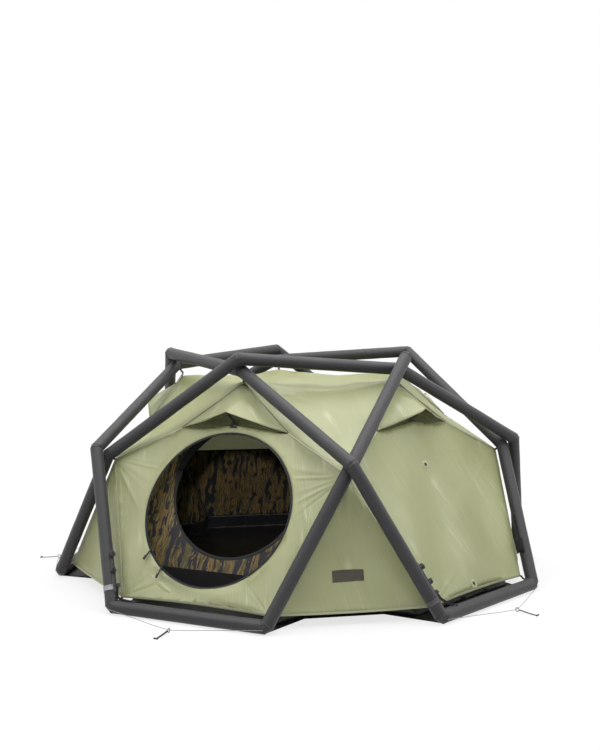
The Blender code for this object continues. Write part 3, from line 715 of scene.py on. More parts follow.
@dataclass(frozen=True)
class Shell:
    """A five-sided dome of flat panels; distances are from the axis to a side panel's plane."""

    base_distance: float
    half_width: float
    base_height: float
    waist_height: float
    top_radius: float
    top_height: float

    @property
    def slope(self) -> float:
        """How far a side panel leans in for each metre of height."""
        return (self.base_distance - self.top_radius) / (self.top_height - self.base_height)

    def distance(self, height: float) -> float:
        """Distance of a side panel from the axis at a height."""
        return self.base_distance - self.slope * (height - self.base_height)

    def on_side(self, side: float, lateral: float, height: float) -> Vector:
        """A point on a side panel's plane."""
        return PLAN.place(side, lateral, self.distance(height), height)

    def hem(self, side: int, hand: Hand, height: float | None = None) -> Vector:
        """A lower corner of a side panel, or the point over it at a height."""
        return self.on_side(side, hand.value * self.half_width, self.base_height if height is None else height)

    def waist(self, side: int) -> Vector:
        """The corner left of a side panel, at the waist."""
        return PLAN.place(side - 0.5, 0, self.distance(self.waist_height) / cos(pi / PLAN.sides), self.waist_height)

    def top(self, side: int) -> Vector:
        """The corner above a side panel."""
        return PLAN.place(side, 0, self.top_radius, self.top_height)

    def normal(self, side: int) -> Vector:
        """Outward direction of a side panel."""
        return PLAN.place(side, 0, 1, self.slope).normalized()

    def upward(self, side: int) -> Vector:
        """Direction up a side panel."""
        return PLAN.place(side, 0, -self.slope, 1).normalized()

    def round(self, centre: Vector, radius: float, degrees: float, lift: float = 0.0) -> Vector:
        """A point on a circle in the front panel, counted from its right, seen from outside."""
        turn = radians(degrees)
        across = PLAN.place(0, 1, 0, 0)
        return centre + (across * cos(turn) + self.upward(0) * sin(turn)) * radius + self.normal(0) * lift


OUTER = Shell(PLAN.bar_distance - 0.068, PLAN.bar_half - 0.022, 0.075, PLAN.waist_height - 0.047,
              PLAN.crown_radius - 0.056, PLAN.crown_height - 0.091)
INNER = Shell(OUTER.base_distance - 0.148, 0.445, 0.100, OUTER.waist_height - 0.132, OUTER.top_radius - 0.105,
              OUTER.top_height - 0.058)


# Camera, floor and lights


@dataclass(frozen=True)
class Studio:
    """White studio: a camera at the photographer's place, soft lamps and a pale floor."""

    eye: tuple[float, float, float] = (2.7234, -5.9846, 1.5790)
    pitch: float = 3.2955
    yaw: float = 24.449
    lens: float = 50.508
    ambient: float = 0.22
    shadow_near: float = 1.4
    shadow_reach: float = 2.6
    paper: str = "#d8d8d8"
    lamps: tuple = (("right_lamp", 8.0, 3.4, 5.6, 3.0, 78.0), ("left_lamp", -128.0, 2.6, 5.6, 3.0, 50.0),
                    ("top_lamp", -66.0, 6.2, 0.9, 9.0, 840.0))

    def camera(self) -> None:
        """Set the camera, whose 36 mm sensor spans the picture's height."""
        data = bpy.data.cameras.new("camera")
        data.lens = self.lens
        data.sensor_width = 36.0
        made = into_scene("camera", data)
        made.location = self.eye
        made.rotation_euler = (radians(90 - self.pitch), 0, radians(self.yaw))
        bpy.context.scene.camera = made

    def lamp(self, name: str, kind: str, place: Vector, aim_at: Vector, power: float, **settings: float) -> None:
        """Add a lamp that faces a point."""
        data = bpy.data.lights.new(name, kind)
        data.energy = power
        for key, value in settings.items():
            setattr(data, key, value)
        into_scene(name, data, aim(place, place - aim_at, UP.cross(place - aim_at)))

    def seen_white(self, tree: Tree) -> Socket:
        """A factor of 1 for camera, glossy and transmission rays."""
        path = add(tree, "LightPath").outputs
        total = path["Is Camera Ray"]
        for other in ("Is Glossy Ray", "Is Transmission Ray"):
            total = add(tree, "Math", {0: total, 1: path[other]}, operation="MAXIMUM").outputs[0]
        return total

    def build(self) -> None:
        """Make the camera, the area lamps, a spot through the doorway onto the rear wall, sky and floor."""
        self.camera()
        middle = Vector((0, 0, 0.6))
        for name, azimuth, height, distance, size, power in self.lamps:
            spot = Vector((distance * cos(radians(azimuth)), distance * sin(radians(azimuth)), height))
            self.lamp(name, "AREA", spot, middle, power, size=size)
        self.lamp("door_spot", "SPOT", Vector((2.25, -5.56, 1.9)), INNER.on_side(0, 0.045, 0.620), 620.0,
                  spot_size=radians(7.4), spot_blend=0.3, shadow_soft_size=0.12)
        world = bpy.data.worlds.new("white_studio")
        bpy.context.scene.world = world
        world.use_nodes = True
        tree = world.node_tree
        tree.nodes.clear()
        light = add(tree, "Background", {"Color": linear("#fbfbff"), "Strength": self.ambient})
        white = add(tree, "Background", {"Color": (1, 1, 1, 1), "Strength": 1.0})
        mix = add(tree, "MixShader", {0: self.seen_white(tree), 1: light.outputs[0], 2: white.outputs[0]})
        add(tree, "OutputWorld", {"Surface": mix.outputs[0]}).is_active_output = True
        bm = bmesh.new()
        bmesh.ops.create_grid(bm, x_segments=1, y_segments=1, size=30.0)
        mesh = bpy.data.meshes.new("studio_floor")
        bm.to_mesh(mesh)
        bm.free()
        mesh.materials.append(self.floor())
        into_scene("studio_floor", mesh, Matrix.Translation((0, 0, -0.0005)))

    def floor(self) -> bpy.types.Material:
        """White floor that keeps part of the tent's shadow."""
        made = bpy.data.materials.new("white_floor")
        made.use_nodes = True
        tree = made.node_tree
        tree.nodes.remove(tree.nodes["Principled BSDF"])
        paper = add(tree, "BsdfDiffuse", {"Color": linear(self.paper)})
        white = add(tree, "Emission", {"Color": (1, 1, 1, 1), "Strength": 1.02})
        far = add(tree, "VectorMath", {0: add(tree, "TexCoord").outputs["Object"]}, operation="LENGTH")
        fade = add(tree, "MapRange", {"Value": far.outputs["Value"], "From Min": self.shadow_near,
                                      "From Max": self.shadow_reach, "To Min": 0.72, "To Max": 1.0})
        share = add(tree, "Math", {0: self.seen_white(tree), 1: fade.outputs[0]}, operation="MULTIPLY")
        mix = add(tree, "MixShader", {0: share.outputs[0], 1: paper.outputs[0], 2: white.outputs[0]})
        tree.links.new(mix.outputs[0], tree.nodes["Material Output"].inputs["Surface"])
        return made


# Air frame


@dataclass(frozen=True)
class AirFrame:
    """Five inflated chambers in woven sleeves, mitred where they bend."""

    facets: int = 32
    band: float = 0.027
    joint: float = 0.096
    seam_dip: float = 0.0011
    pucker: float = 0.0009
    pucker_reach: float = 0.055
    wave: float = 0.0006
    slack: float = 0.0022
    fold_pitch: float = 0.017
    elbow: float = 0.016
    cover: float = 0.0010
    cover_facets: tuple[int, int] = (10, 11)
    ring_gap: float = 0.06
    ring_clear: float = 0.09
    far: float = 9.0
    near: tuple = (0.0, 0.0025, 0.008, 0.014, 0.020, 0.026, 0.032, 0.038, 0.045, 0.055, 0.07)

    def path(self, index: int) -> list[Vector]:
        """One chamber's centreline: its cut corners from one band to the next, by the side it starts on."""
        last = (index + 2) % PLAN.sides
        play = self.band / 2 + GAP
        bends = [
            Leg(index).at(self.joint + play), PLAN.over(PLAN.waist(index)), PLAN.over(PLAN.crown(index - 1), -1),
            PLAN.over(PLAN.crown(index - 2)), PLAN.over(PLAN.waist(index - 2), -1),
            PLAN.corner(last, Hand.RIGHT), PLAN.corner(last, Hand.LEFT), Leg(last).at(self.joint - play),
        ]
        path = bends[:1]
        for before, bend, after in zip(bends, bends[1:], bends[2:]):
            cut = self.elbow if bend.z < 0.1 else self.elbow / 5
            path += [bend + (before - bend).normalized() * cut, bend + (after - bend).normalized() * cut]
        return [*path, bends[-1]]

    def stations(self, path: Sequence[Vector]) -> list[tuple[int, float, float, float]]:
        """Where the rings stand along a chamber: close together at its bends.

        Args:
            path: the chamber's bends.

        Returns:
            For each ring its stretch, its distance along that stretch, and its distances to the bends
            before and after it, which are far at the chamber's ends.
        """
        rows = []
        for i, (a, b) in enumerate(zip(path, path[1:])):
            length = (b - a).length
            opens, closes = i > 0, i < len(path) - 2
            spots = set() if opens else {0.0, length}
            if opens:
                spots |= {d for d in self.near if d < length / 2}
            spots |= {length - d for d in self.near if 0 < d < length / 2} if closes else {length}
            span = max(1, round(length / self.ring_gap))
            spots |= {length * k / span for k in range(1, span) if (not opens or length * k / span > self.ring_clear)
                      and (not closes or length * (1 - k / span) > self.ring_clear)}
            rows += [(i, spot, spot if opens else self.far, length - spot if closes else self.far)
                     for spot in sorted(spots) if not closes or length - spot >= WELD]
        return rows

    def build(self) -> None:
        """Make the five sleeves, each standing for its bladder too."""
        for index in range(PLAN.sides):
            self.sleeve(index)

    def spokes(self, path: Sequence[Vector], ways: Sequence[Vector]) -> tuple[int, dict[int, Vector]]:
        """Carry one direction across the tube from its floor bar to both ends without twist.

        Args:
            path: the chamber's bends.
            ways: the direction of each stretch.

        Returns:
            The floor bar's number and the direction for each stretch.
        """
        bar = max(range(len(ways)), key=lambda i: (path[i + 1] - path[i]).length if abs(ways[i].z) < WELD else 0)
        made = {bar: ways[bar].cross(UP)}
        for i in range(bar + 1, len(ways)):
            made[i] = ways[i - 1].rotation_difference(ways[i]) @ made[i - 1]
        for i in range(bar - 1, -1, -1):
            made[i] = ways[i + 1].rotation_difference(ways[i]) @ made[i + 1]
        return bar, made

    def mitred(self, path: Sequence[Vector], ways: Sequence[Vector], row: tuple, spoke: Vector) -> Matrix:
        """A ring's frame, sheared onto the mitres of the bends near it.

        Args:
            path: the chamber's bends.
            ways: the direction of each stretch.
            row: the ring's station.
            spoke: the direction of the frame's X.

        Returns:
            The frame.
        """
        i, spot, before, after = row
        centre = path[i] + ways[i] * spot
        reach = min(2.4 * PLAN.base_height, (path[i + 1] - path[i]).length)
        shear = Matrix.Identity(3)
        for bend, gap in ((i, before), (i + 1, after)):
            share = 1 - gap / reach
            if share > 0:
                plane = (ways[bend - 1] + ways[bend]).normalized()
                across = plane - ways[i] * plane.dot(ways[i])
                for r in range(3):
                    for c in range(3):
                        shear[r][c] -= share * ways[i][r] * across[c] / ways[i].dot(plane)
        return Matrix.Translation(centre) @ shear.to_4x4() @ Matrix.Translation(-centre) @ aim(centre, ways[i], spoke)

    def sleeve(self, index: int) -> None:
        """Make one sleeve: rings drawn along its path, sheared onto its mitres, then puckered."""
        path = self.path(index)
        ways = [(b - a).normalized() for a, b in zip(path, path[1:])]
        bar, spokes = self.spokes(path, ways)
        rows = self.stations(path)
        frames = [self.mitred(path, ways, row, spokes[row[0]]) for row in rows]
        bm = start_mesh()
        rings = loft(bm, circle_ring(bm, PLAN.base_height, self.facets), frames, capped=False)
        dice = random.Random(40 + index)
        phase = [dice.uniform(0, 2 * pi) for _ in range(4)]
        for (i, spot, before, after), ring in zip(rows, rings):
            centre = path[i] + ways[i] * spot
            bend, gap = (i, before) if before < after else (i + 1, after)
            near = max(0.0, 1 - gap / self.pucker_reach) ** 2
            inner_way = (ways[bend] - ways[bend - 1]).normalized() if near > 0 else spokes[i]
            for k, vert in enumerate(ring):
                out = (vert.co - centre - ways[i] * (vert.co - centre).dot(ways[i])).normalized()
                turn = 2 * pi * k / self.facets
                give = self.wave * (sin(spot * 21 + 2 * turn + phase[0]) + sin(spot * 47 - 3 * turn + phase[1])) / 2
                if near > 0:
                    pinch = max(0.0, out.dot(inner_way))
                    give += near * self.pucker * sin(9 * turn + phase[2])
                    give += near * self.slack * pinch * sin(2 * pi * gap / self.fold_pitch + phase[3] / 3)
                    give += self.seam_dip * (1 if gap < 0.001 else -1 if gap < 0.006 else 0)
                give += self.cover if k in self.cover_facets else 0.0
                vert.co += out * (min(give, 0.0) if i == bar and out.z < -0.6 else give)
        close_ends(bm, rings)
        finish_piece(f"sleeve_{index + 1}", bm, SLEEVE, sharp=18.0,
                     replaces=[f"tube_sleeve_{index + 1}", f"air_bladder_{index + 1}"])


class Leg:
    """The leg over a side's left corner, where two chambers meet and the valves sit."""

    turn: float = radians(25)

    def __init__(self, side: int) -> None:
        """Work out the leg's axis and the way its valve strip faces."""
        self.foot = PLAN.corner(side, Hand.LEFT)
        self.axis = (PLAN.over(PLAN.waist(side)) - self.foot).normalized()
        bar = (PLAN.corner(side, Hand.RIGHT) - self.foot).normalized()
        inward = (bar - self.axis * bar.dot(self.axis)).normalized()
        outward = self.axis.cross(inward)
        if outward.dot(PLAN.place(side, 0, 1, 0)) < 0:
            outward = -outward
        self.strip_way = inward * cos(self.turn) + outward * sin(self.turn)

    def at(self, distance: float, offset: float = 0.0) -> Vector:
        """A point along the leg, set off towards the valve strip's side."""
        return self.foot + self.axis * distance + self.strip_way * offset


@dataclass(frozen=True)
class Valves:
    """The band between two chambers with its valve strip, seats, inflation cap and shut-off knob."""

    joint: float = 0.096
    band: float = 0.027
    band_rise: float = 0.0012
    strip_low: float = 0.066
    strip_high: float = 0.300
    strip_width: float = 0.018
    strip_thickness: float = 0.003
    knob_distance: float = 0.184
    cap_distance: float = 0.272
    seat_radius: float = 0.0125
    seat_height: float = 0.006
    cap_radius: float = 0.0165
    cap_height: float = 0.013
    cap_ribs: int = 18
    rib_depth: float = 0.0009
    knob_radius: float = 0.015
    knob_height: float = 0.007
    grip_height: float = 0.009
    grip_width: float = 0.005

    @property
    def face(self) -> float:
        """Distance of the strip's face from the tube's axis."""
        return PLAN.tube_radius + GAP + self.strip_thickness

    def build(self) -> None:
        """Make the bands, strips and controls of the five legs."""
        for index in range(PLAN.sides):
            leg = Leg(index)
            self.cuff(index, leg)
            self.strip(index, leg)
            self.cap(index, leg)
            self.knob(index, leg)

    def cuff(self, index: int, leg: Leg) -> None:
        """The webbing band round the tube, hemmed at both edges."""
        bm = start_mesh()
        radius = PLAN.tube_radius + self.band_rise
        half = self.band / 2
        edge = [(0.0022, half), (0.0006, half), (0.0, half - 0.0008), (0.0, half - 0.0022), (0.0005, half - 0.003)]
        profile = [(radius - dip, -rise) for dip, rise in edge] + [(radius - dip, rise) for dip, rise in edge[::-1]]
        place = aim(leg.at(self.joint), leg.axis, leg.strip_way)
        turned(bm, [*profile, profile[0]], place, 48, closed=True)
        ring_map(bm, place, radius, standing=True)
        finish_piece(f"chamber_cuff_{index + 1}", bm, DARK_CUFF if index else GREY_WEBBING,
                     replaces=[f"joint_valve_{index + 1}"])

    def strip(self, index: int, leg: Leg) -> None:
        """The valve strip with its two seats."""
        bm = start_mesh()
        middle = self.face - self.strip_thickness / 2
        count = 24
        ring = band_ring(bm, self.strip_width, self.strip_thickness, 16)
        frames = frames_along(between(leg.at(self.strip_low, middle), leg.at(self.strip_high, middle), count),
                              leg.axis.cross(leg.strip_way))
        ends = [min(1.0, 0.55 + 0.45 * min(k, count - k)) for k in range(count + 1)]
        loft(bm, ring, [f @ Matrix.Diagonal((s, 1, 1, 1)) for f, s in zip(frames, ends)])
        top, round_off = self.face + self.seat_height, 0.001
        profile = [(0.0, middle), (self.seat_radius, middle), (self.seat_radius, top - round_off),
                   (self.seat_radius - round_off, top), (0.0, top)]
        for distance in (self.knob_distance, self.cap_distance):
            turned(bm, profile, aim(leg.at(distance), leg.strip_way, leg.axis), 24)
        finish_piece(f"valve_strip_{index + 1}", bm, STRIP_PLASTIC)

    def seat(self, leg: Leg, distance: float) -> Matrix:
        """The frame of a control on its seat, its Z outwards."""
        return aim(leg.at(distance, self.face + self.seat_height + GAP), leg.strip_way, leg.axis)

    def cap(self, index: int, leg: Leg) -> None:
        """The inflation valve's cap: a turned cup whose rim is ribbed for the fingers."""
        bm = start_mesh()
        r, h = self.cap_radius, self.cap_height
        profile = [(0.0, 0.0), (r - 0.002, 0.0), (r - 0.0004, 0.0006), (r, 0.002), (r, h - 0.0024),
                   (r - 0.0008, h - 0.0008), (r - 0.0022, h), (r - 0.0052, h), (r - 0.0062, h - 0.0011),
                   (0.004, h - 0.0013), (0.003, h - 0.0006), (0.0, h - 0.0006)]
        made = turned(bm, profile, Matrix.Identity(4), 72)
        for vert in made:
            reach = hypot(vert.co.x, vert.co.y)
            if reach > r - 0.0012:
                dip = self.rib_depth * (0.5 + 0.5 * cos(self.cap_ribs * atan2(vert.co.y, vert.co.x)))
                vert.co.xy = vert.co.xy * (1 - dip / reach)
        bmesh.ops.transform(bm, matrix=self.seat(leg, self.cap_distance), verts=made)
        finish_piece(f"valve_cap_{index + 1}", bm, VALVE_PLASTIC, f"inflation_cap_{index + 1}",
                     [f"inflation_cap_{index + 1}"], sharp=35.0)

    def knob(self, index: int, leg: Leg) -> None:
        """The shut-off valve's knob: a disc with a rounded wing across it."""
        bm = start_mesh()
        r, h = self.knob_radius, self.knob_height
        place = self.seat(leg, self.knob_distance)
        turned(bm, [(0.0, 0.0), (r - 0.0015, 0.0), (r, 0.0012), (r, h - 0.0012), (r - 0.0012, h), (0.0, h)], place, 48)
        block(bm, shifted(place, 0, 0, h + self.grip_height / 2 - 0.0005),
              (r * 1.8, self.grip_width, self.grip_height + 0.001), 0.0018, 3)
        finish_piece(f"valve_knob_{index + 1}", bm, VALVE_PLASTIC, f"shutoff_knob_{index + 1}",
                     [f"shutoff_knob_{index + 1}"], sharp=35.0)


# Cloth sheets


@dataclass(frozen=True)
class Crease:
    """A pull line in a panel: a soft ridge between two points."""

    start: Vector
    end: Vector
    height: float
    width: float


@dataclass
class Panel:
    """One flat piece of a sheet, with its own frame and its creases."""

    corners: list[Vector]
    creases: list[Crease] = field(default_factory=list)
    bulge: float = 0.0

    def __post_init__(self) -> None:
        """Work out the panel's frame: its normal outwards and its V up the cloth."""
        self.origin = sum(self.corners, Vector()) / len(self.corners)
        self.normal = self.sweep().normalized()
        if self.normal.dot(self.origin) < 0:
            self.normal = -self.normal
        lead = UP if abs(self.normal.z) < 0.95 else Vector((0, 1, 0))
        self.v = (lead - self.normal * lead.dot(self.normal)).normalized()
        self.u = self.v.cross(self.normal)

    def sweep(self) -> Vector:
        """A vector across the panel, twice as long as its area."""
        return sum(((a - self.origin).cross(b - self.origin) for a, b in pairs(self.corners)), Vector())

    def area(self) -> float:
        """The panel's flat area."""
        return self.sweep().length / 2

    def fan(self, anchor: Vector, aimed: Vector, spread: float, count: int, reach: tuple[float, float],
            height: float, width: float, dice: random.Random) -> None:
        """Add creases that spread over the panel from a pulled corner.

        Args:
            anchor: the corner.
            aimed: a point in the middle of the fan.
            spread: half its angle in degrees.
            count: how many creases.
            reach: their shortest and longest length.
            height: the highest crease.
            width: the usual half width of a crease.
            dice: the source of their variation.
        """
        middle = aimed - anchor
        middle = (middle - self.normal * middle.dot(self.normal)).normalized()
        for k in range(count):
            turn = radians(spread) * (2 * (k + dice.uniform(0.2, 0.8)) / count - 1)
            way = Matrix.Rotation(turn, 3, self.normal) @ middle
            length = dice.uniform(*reach)
            begin = dice.uniform(0.02, 0.16) * length
            self.creases.append(Crease(anchor + way * begin, anchor + way * (begin + length),
                                       height * dice.uniform(0.35, 1.0) * dice.choice((-0.8, 1, 1)),
                                       width * dice.uniform(0.7, 1.5)))

    def streaks(self, middle: Vector, half: tuple[float, float], lean: float, count: int,
                dice: random.Random) -> None:
        """Add long thin pull lines that run down the panel side by side.

        Args:
            middle: centre of the streaked part.
            half: half its width and half its height.
            lean: degrees by which the lines lean to the right as they go down.
            count: how many lines.
            dice: the source of their variation.
        """
        for _ in range(count):
            turn = radians(lean + dice.uniform(-9, 9))
            way = self.u * sin(turn) - self.v * cos(turn)
            start = middle + self.u * dice.uniform(-half[0], half[0]) + self.v * dice.uniform(-half[1] * 0.5, half[1])
            self.creases.append(Crease(start, start + way * dice.uniform(0.12, 0.32), dice.uniform(0.004, 0.007),
                                       dice.uniform(0.010, 0.013)))


def beside(spots: np.ndarray, a: Vector, b: Vector, past: float = 0.0) -> tuple[np.ndarray, np.ndarray, np.ndarray]:
    """Measure points against a line.

    Args:
        spots: the points, one row each.
        a: the line's start.
        b: its end.
        past: how far past its ends it still counts as the line.

    Returns:
        How far along the line each point is as a share of its length, how far it is from the endless line,
        and how far from the line itself.
    """
    along = np.array(b - a)
    length = max(float(np.linalg.norm(along)), 1e-9)
    unit = along / length
    rel = spots - np.array(a)
    r = rel @ unit
    near = np.clip(r, -past, length + past)
    return r / length, np.linalg.norm(rel - r[:, None] * unit, axis=1), np.linalg.norm(
        rel - near[:, None] * unit, axis=1)


def eased(value: np.ndarray) -> np.ndarray:
    """Clip to 0 and 1 and ease both ends."""
    value = np.clip(value, 0, 1)
    return value * value * (3 - 2 * value)


class Sheet:
    """A cloth sewn from flat panels, then refined, creased and bulged as it hangs."""

    rim_segments = 160
    held_rim = 0.05

    def __init__(self, panels: list[Panel], coarse: float, fine: float, hole: tuple[Vector, float] | None = None,
                 hole_panel: int = 0) -> None:
        """Sew the panels and refine their mesh.

        Args:
            panels: the flat pieces, whose shared corners meet.
            coarse: longest edge of the plain cloth.
            fine: longest edge along a crease.
            hole: centre and radius of a round opening, or None.
            hole_panel: the number of the panel that has it.
        """
        self.panels, self.coarse, self.fine = panels, coarse, fine
        self.hole, self.hole_panel = hole, hole_panel
        self.bm = bmesh.new()
        self.cut()
        self.refine()

    def area(self) -> float:
        """Area of the cloth laid flat."""
        return sum(p.area() for p in self.panels) - (pi * self.hole[1] ** 2 if self.hole else 0.0)

    def cut(self) -> None:
        """Sew the panels' outlines together and fill them, leaving the opening."""
        for number, panel in enumerate(self.panels):
            verts = [self.bm.verts.new(corner) for corner in panel.corners]
            if self.hole and number == self.hole_panel:
                centre, radius = self.hole
                edges = [self.bm.edges.new(pair) for pair in pairs(verts)]
                rim = bmesh.ops.create_circle(self.bm, cap_ends=False, segments=self.rim_segments, radius=radius,
                                              matrix=aim(centre, panel.normal, panel.v))["verts"]
                edges += list({e for v in rim for e in v.link_edges})
                filled = bmesh.ops.triangle_fill(self.bm, use_beauty=True, use_dissolve=False, edges=edges)["geom"]
                faces = [f for f in filled if isinstance(f, bmesh.types.BMFace)]
            else:
                faces = [self.bm.faces.new(verts)]
            for face in faces:
                face.material_index = number
        bmesh.ops.remove_doubles(self.bm, verts=self.bm.verts, dist=1e-5)
        bmesh.ops.triangulate(self.bm, faces=self.bm.faces)

    def target(self, spots: np.ndarray, number: int) -> np.ndarray:
        """The longest edge wanted at some points of a panel: short beside its creases."""
        want = np.full(len(spots), self.coarse)
        for crease in self.panels[number].creases:
            off = beside(spots, crease.start, crease.end, 0.01)[2]
            want = np.minimum(want, np.clip(self.fine + (off - 1.3 * crease.width) * 0.8, self.fine, None))
        return want

    def even_out(self, verts: Sequence[Vert], times: int) -> None:
        """Smooth some vertices a number of times."""
        for _ in range(times):
            bmesh.ops.smooth_vert(self.bm, verts=verts, factor=0.5, use_axis_x=True, use_axis_y=True,
                                  use_axis_z=True)

    def refine(self) -> None:
        """Split edges until each is as short as its place wants, and even out the mesh."""
        for _ in range(12):
            edges = list(self.bm.edges)
            middles = np.array([(e.verts[0].co + e.verts[1].co) / 2 for e in edges])
            lengths = np.array([e.calc_length() for e in edges])
            want = np.full(len(edges), self.coarse)
            owners = [np.array([e.link_faces[end].material_index for e in edges]) for end in (0, -1)]
            for number in range(len(self.panels)):
                for owner in owners:
                    here = np.nonzero(owner == number)[0]
                    if len(here):
                        want[here] = np.minimum(want[here], self.target(middles[here], number))
            long = [edges[i] for i in np.nonzero(lengths > want)[0]]
            if not long:
                break
            bmesh.ops.subdivide_edges(self.bm, edges=long, cuts=1, use_grid_fill=False)
            bmesh.ops.triangulate(self.bm, faces=[f for f in self.bm.faces if len(f.verts) > 3])
            self.even_out([v for v in self.bm.verts if not v.is_boundary
                           and len({f.material_index for f in v.link_faces}) == 1], 2)

    def seam_distance(self, spots: np.ndarray, seams: Sequence[Line]) -> np.ndarray:
        """Distance of points to the nearest of some lines."""
        return np.min([beside(spots, a, b)[2] for a, b in seams], axis=0)

    def shape(self, seams: Sequence[Line], calm: float, swell: float, seed: int) -> None:
        """Press the creases and the cloth's slow waves into the mesh.

        Args:
            seams: lines that stay where they are.
            calm: how far from a seam the cloth is still held.
            swell: height of the slow waves.
            seed: start of their variation.
        """
        self.bm.verts.ensure_lookup_table()
        spots = np.array([v.co for v in self.bm.verts])
        lifts = np.zeros((len(spots), 3))
        counts = np.zeros(len(spots))
        held = eased(self.seam_distance(spots, seams) / calm)
        if self.hole:
            centre, radius = self.hole
            ring = np.abs(np.linalg.norm(spots - np.array(centre), axis=1) - radius)
            held *= eased(ring / self.held_rim)
        members = [set() for _ in self.panels]
        for face in self.bm.faces:
            members[face.material_index].update(v.index for v in face.verts)
        for number, panel in enumerate(self.panels):
            rows = np.array(sorted(members[number]), dtype=int)
            here = spots[rows]
            dice = random.Random(seed * 100 + number)
            lift = np.zeros(len(rows))
            for crease in panel.creases:
                r, off, _ = beside(here, crease.start, crease.end)
                wide = crease.width * (0.8 + 0.6 * np.clip(r, 0, 1))
                rise = np.where((r > 0) & (r < 1), np.clip(r / 0.18, 0, 1) * (1 - np.clip(r, 0, 1)) ** 0.8, 0)
                t = (off / wide) ** 2
                lift += crease.height * rise * (np.exp(-t) - 0.4 * np.exp(-t / 4))
            u, v = ((here - np.array(panel.origin)) @ np.array(axis) for axis in (panel.u, panel.v))
            for _ in range(5):
                wave, turn = dice.uniform(0.22, 0.7), dice.uniform(-0.9, 0.9)
                lift += swell / 2 * np.sin(2 * pi / wave * (u * cos(turn) + v * sin(turn)) + dice.uniform(0, 6.28))
            lifts[rows] += ((lift + panel.bulge) * held[rows])[:, None] * np.array(panel.normal)
            counts[rows] += 1
        self.pull(lambda _: spots + lifts / np.maximum(counts, 1)[:, None])

    def pull(self, move: Callable[[np.ndarray], np.ndarray]) -> None:
        """Move every vertex by a function of all their places."""
        spots = np.array([v.co for v in self.bm.verts])
        for vert, spot in zip(self.bm.verts, move(spots)):
            vert.co = Vector(spot)

    def soften(self, lines: Sequence[Line], reach: float, times: int) -> None:
        """Round the cloth over lines that are folds of one piece and not seams.

        Args:
            lines: the folds' ends.
            reach: how far from them the cloth is rounded.
            times: how often it is evened out.
        """
        self.bm.verts.ensure_lookup_table()
        near = self.seam_distance(np.array([v.co for v in self.bm.verts]), lines) < reach
        self.even_out([v for v, close in zip(self.bm.verts, near) if close and not v.is_boundary], times)

    def lay_map(self) -> None:
        """Map each panel flat, in metres along its own cloth, and turn all faces outwards."""
        uv = self.bm.loops.layers.uv.new("cloth")
        for face in self.bm.faces:
            panel = self.panels[face.material_index]
            for loop in face.loops:
                rel = loop.vert.co - panel.origin
                loop[uv].uv = (rel.dot(panel.u), rel.dot(panel.v))
            if face.normal.dot(panel.normal) < 0:
                face.normal_flip()

    def piece(self, name: str, finish: Finish, slot: str, replaces: Sequence[str], thickness: float = CLOTH,
              inward: bool = True) -> bpy.types.Object:
        """Give the cloth its thickness and hand over the finished piece.

        Args:
            name: the piece's name.
            finish: its surface.
            slot: the name of a material slot, which is not used.
            replaces: the CAD nodes that it stands for.
            thickness: the cloth's thickness.
            inward: whether the thickness goes to the inner side.

        Returns:
            The piece's object.
        """
        self.bm.normal_update()
        self.lay_map()
        for face in self.bm.faces:
            face.material_index = 0
        mesh = bpy.data.meshes.new(name)
        self.bm.to_mesh(mesh)
        self.bm.free()
        mesh.materials.append(finish.material())
        mesh.shade_smooth()
        made = into_scene(name, mesh)
        thicken = made.modifiers.new("thickness", "SOLIDIFY")
        thicken.thickness = thickness
        thicken.offset = -1.0 if inward else 1.0
        bpy.context.view_layer.update()
        graph = bpy.context.evaluated_depsgraph_get()
        applied = bpy.data.meshes.new_from_object(made.evaluated_get(graph), depsgraph=graph)
        made.modifiers.clear()
        made.data = applied
        return hand_over(made, BODY, replaces)


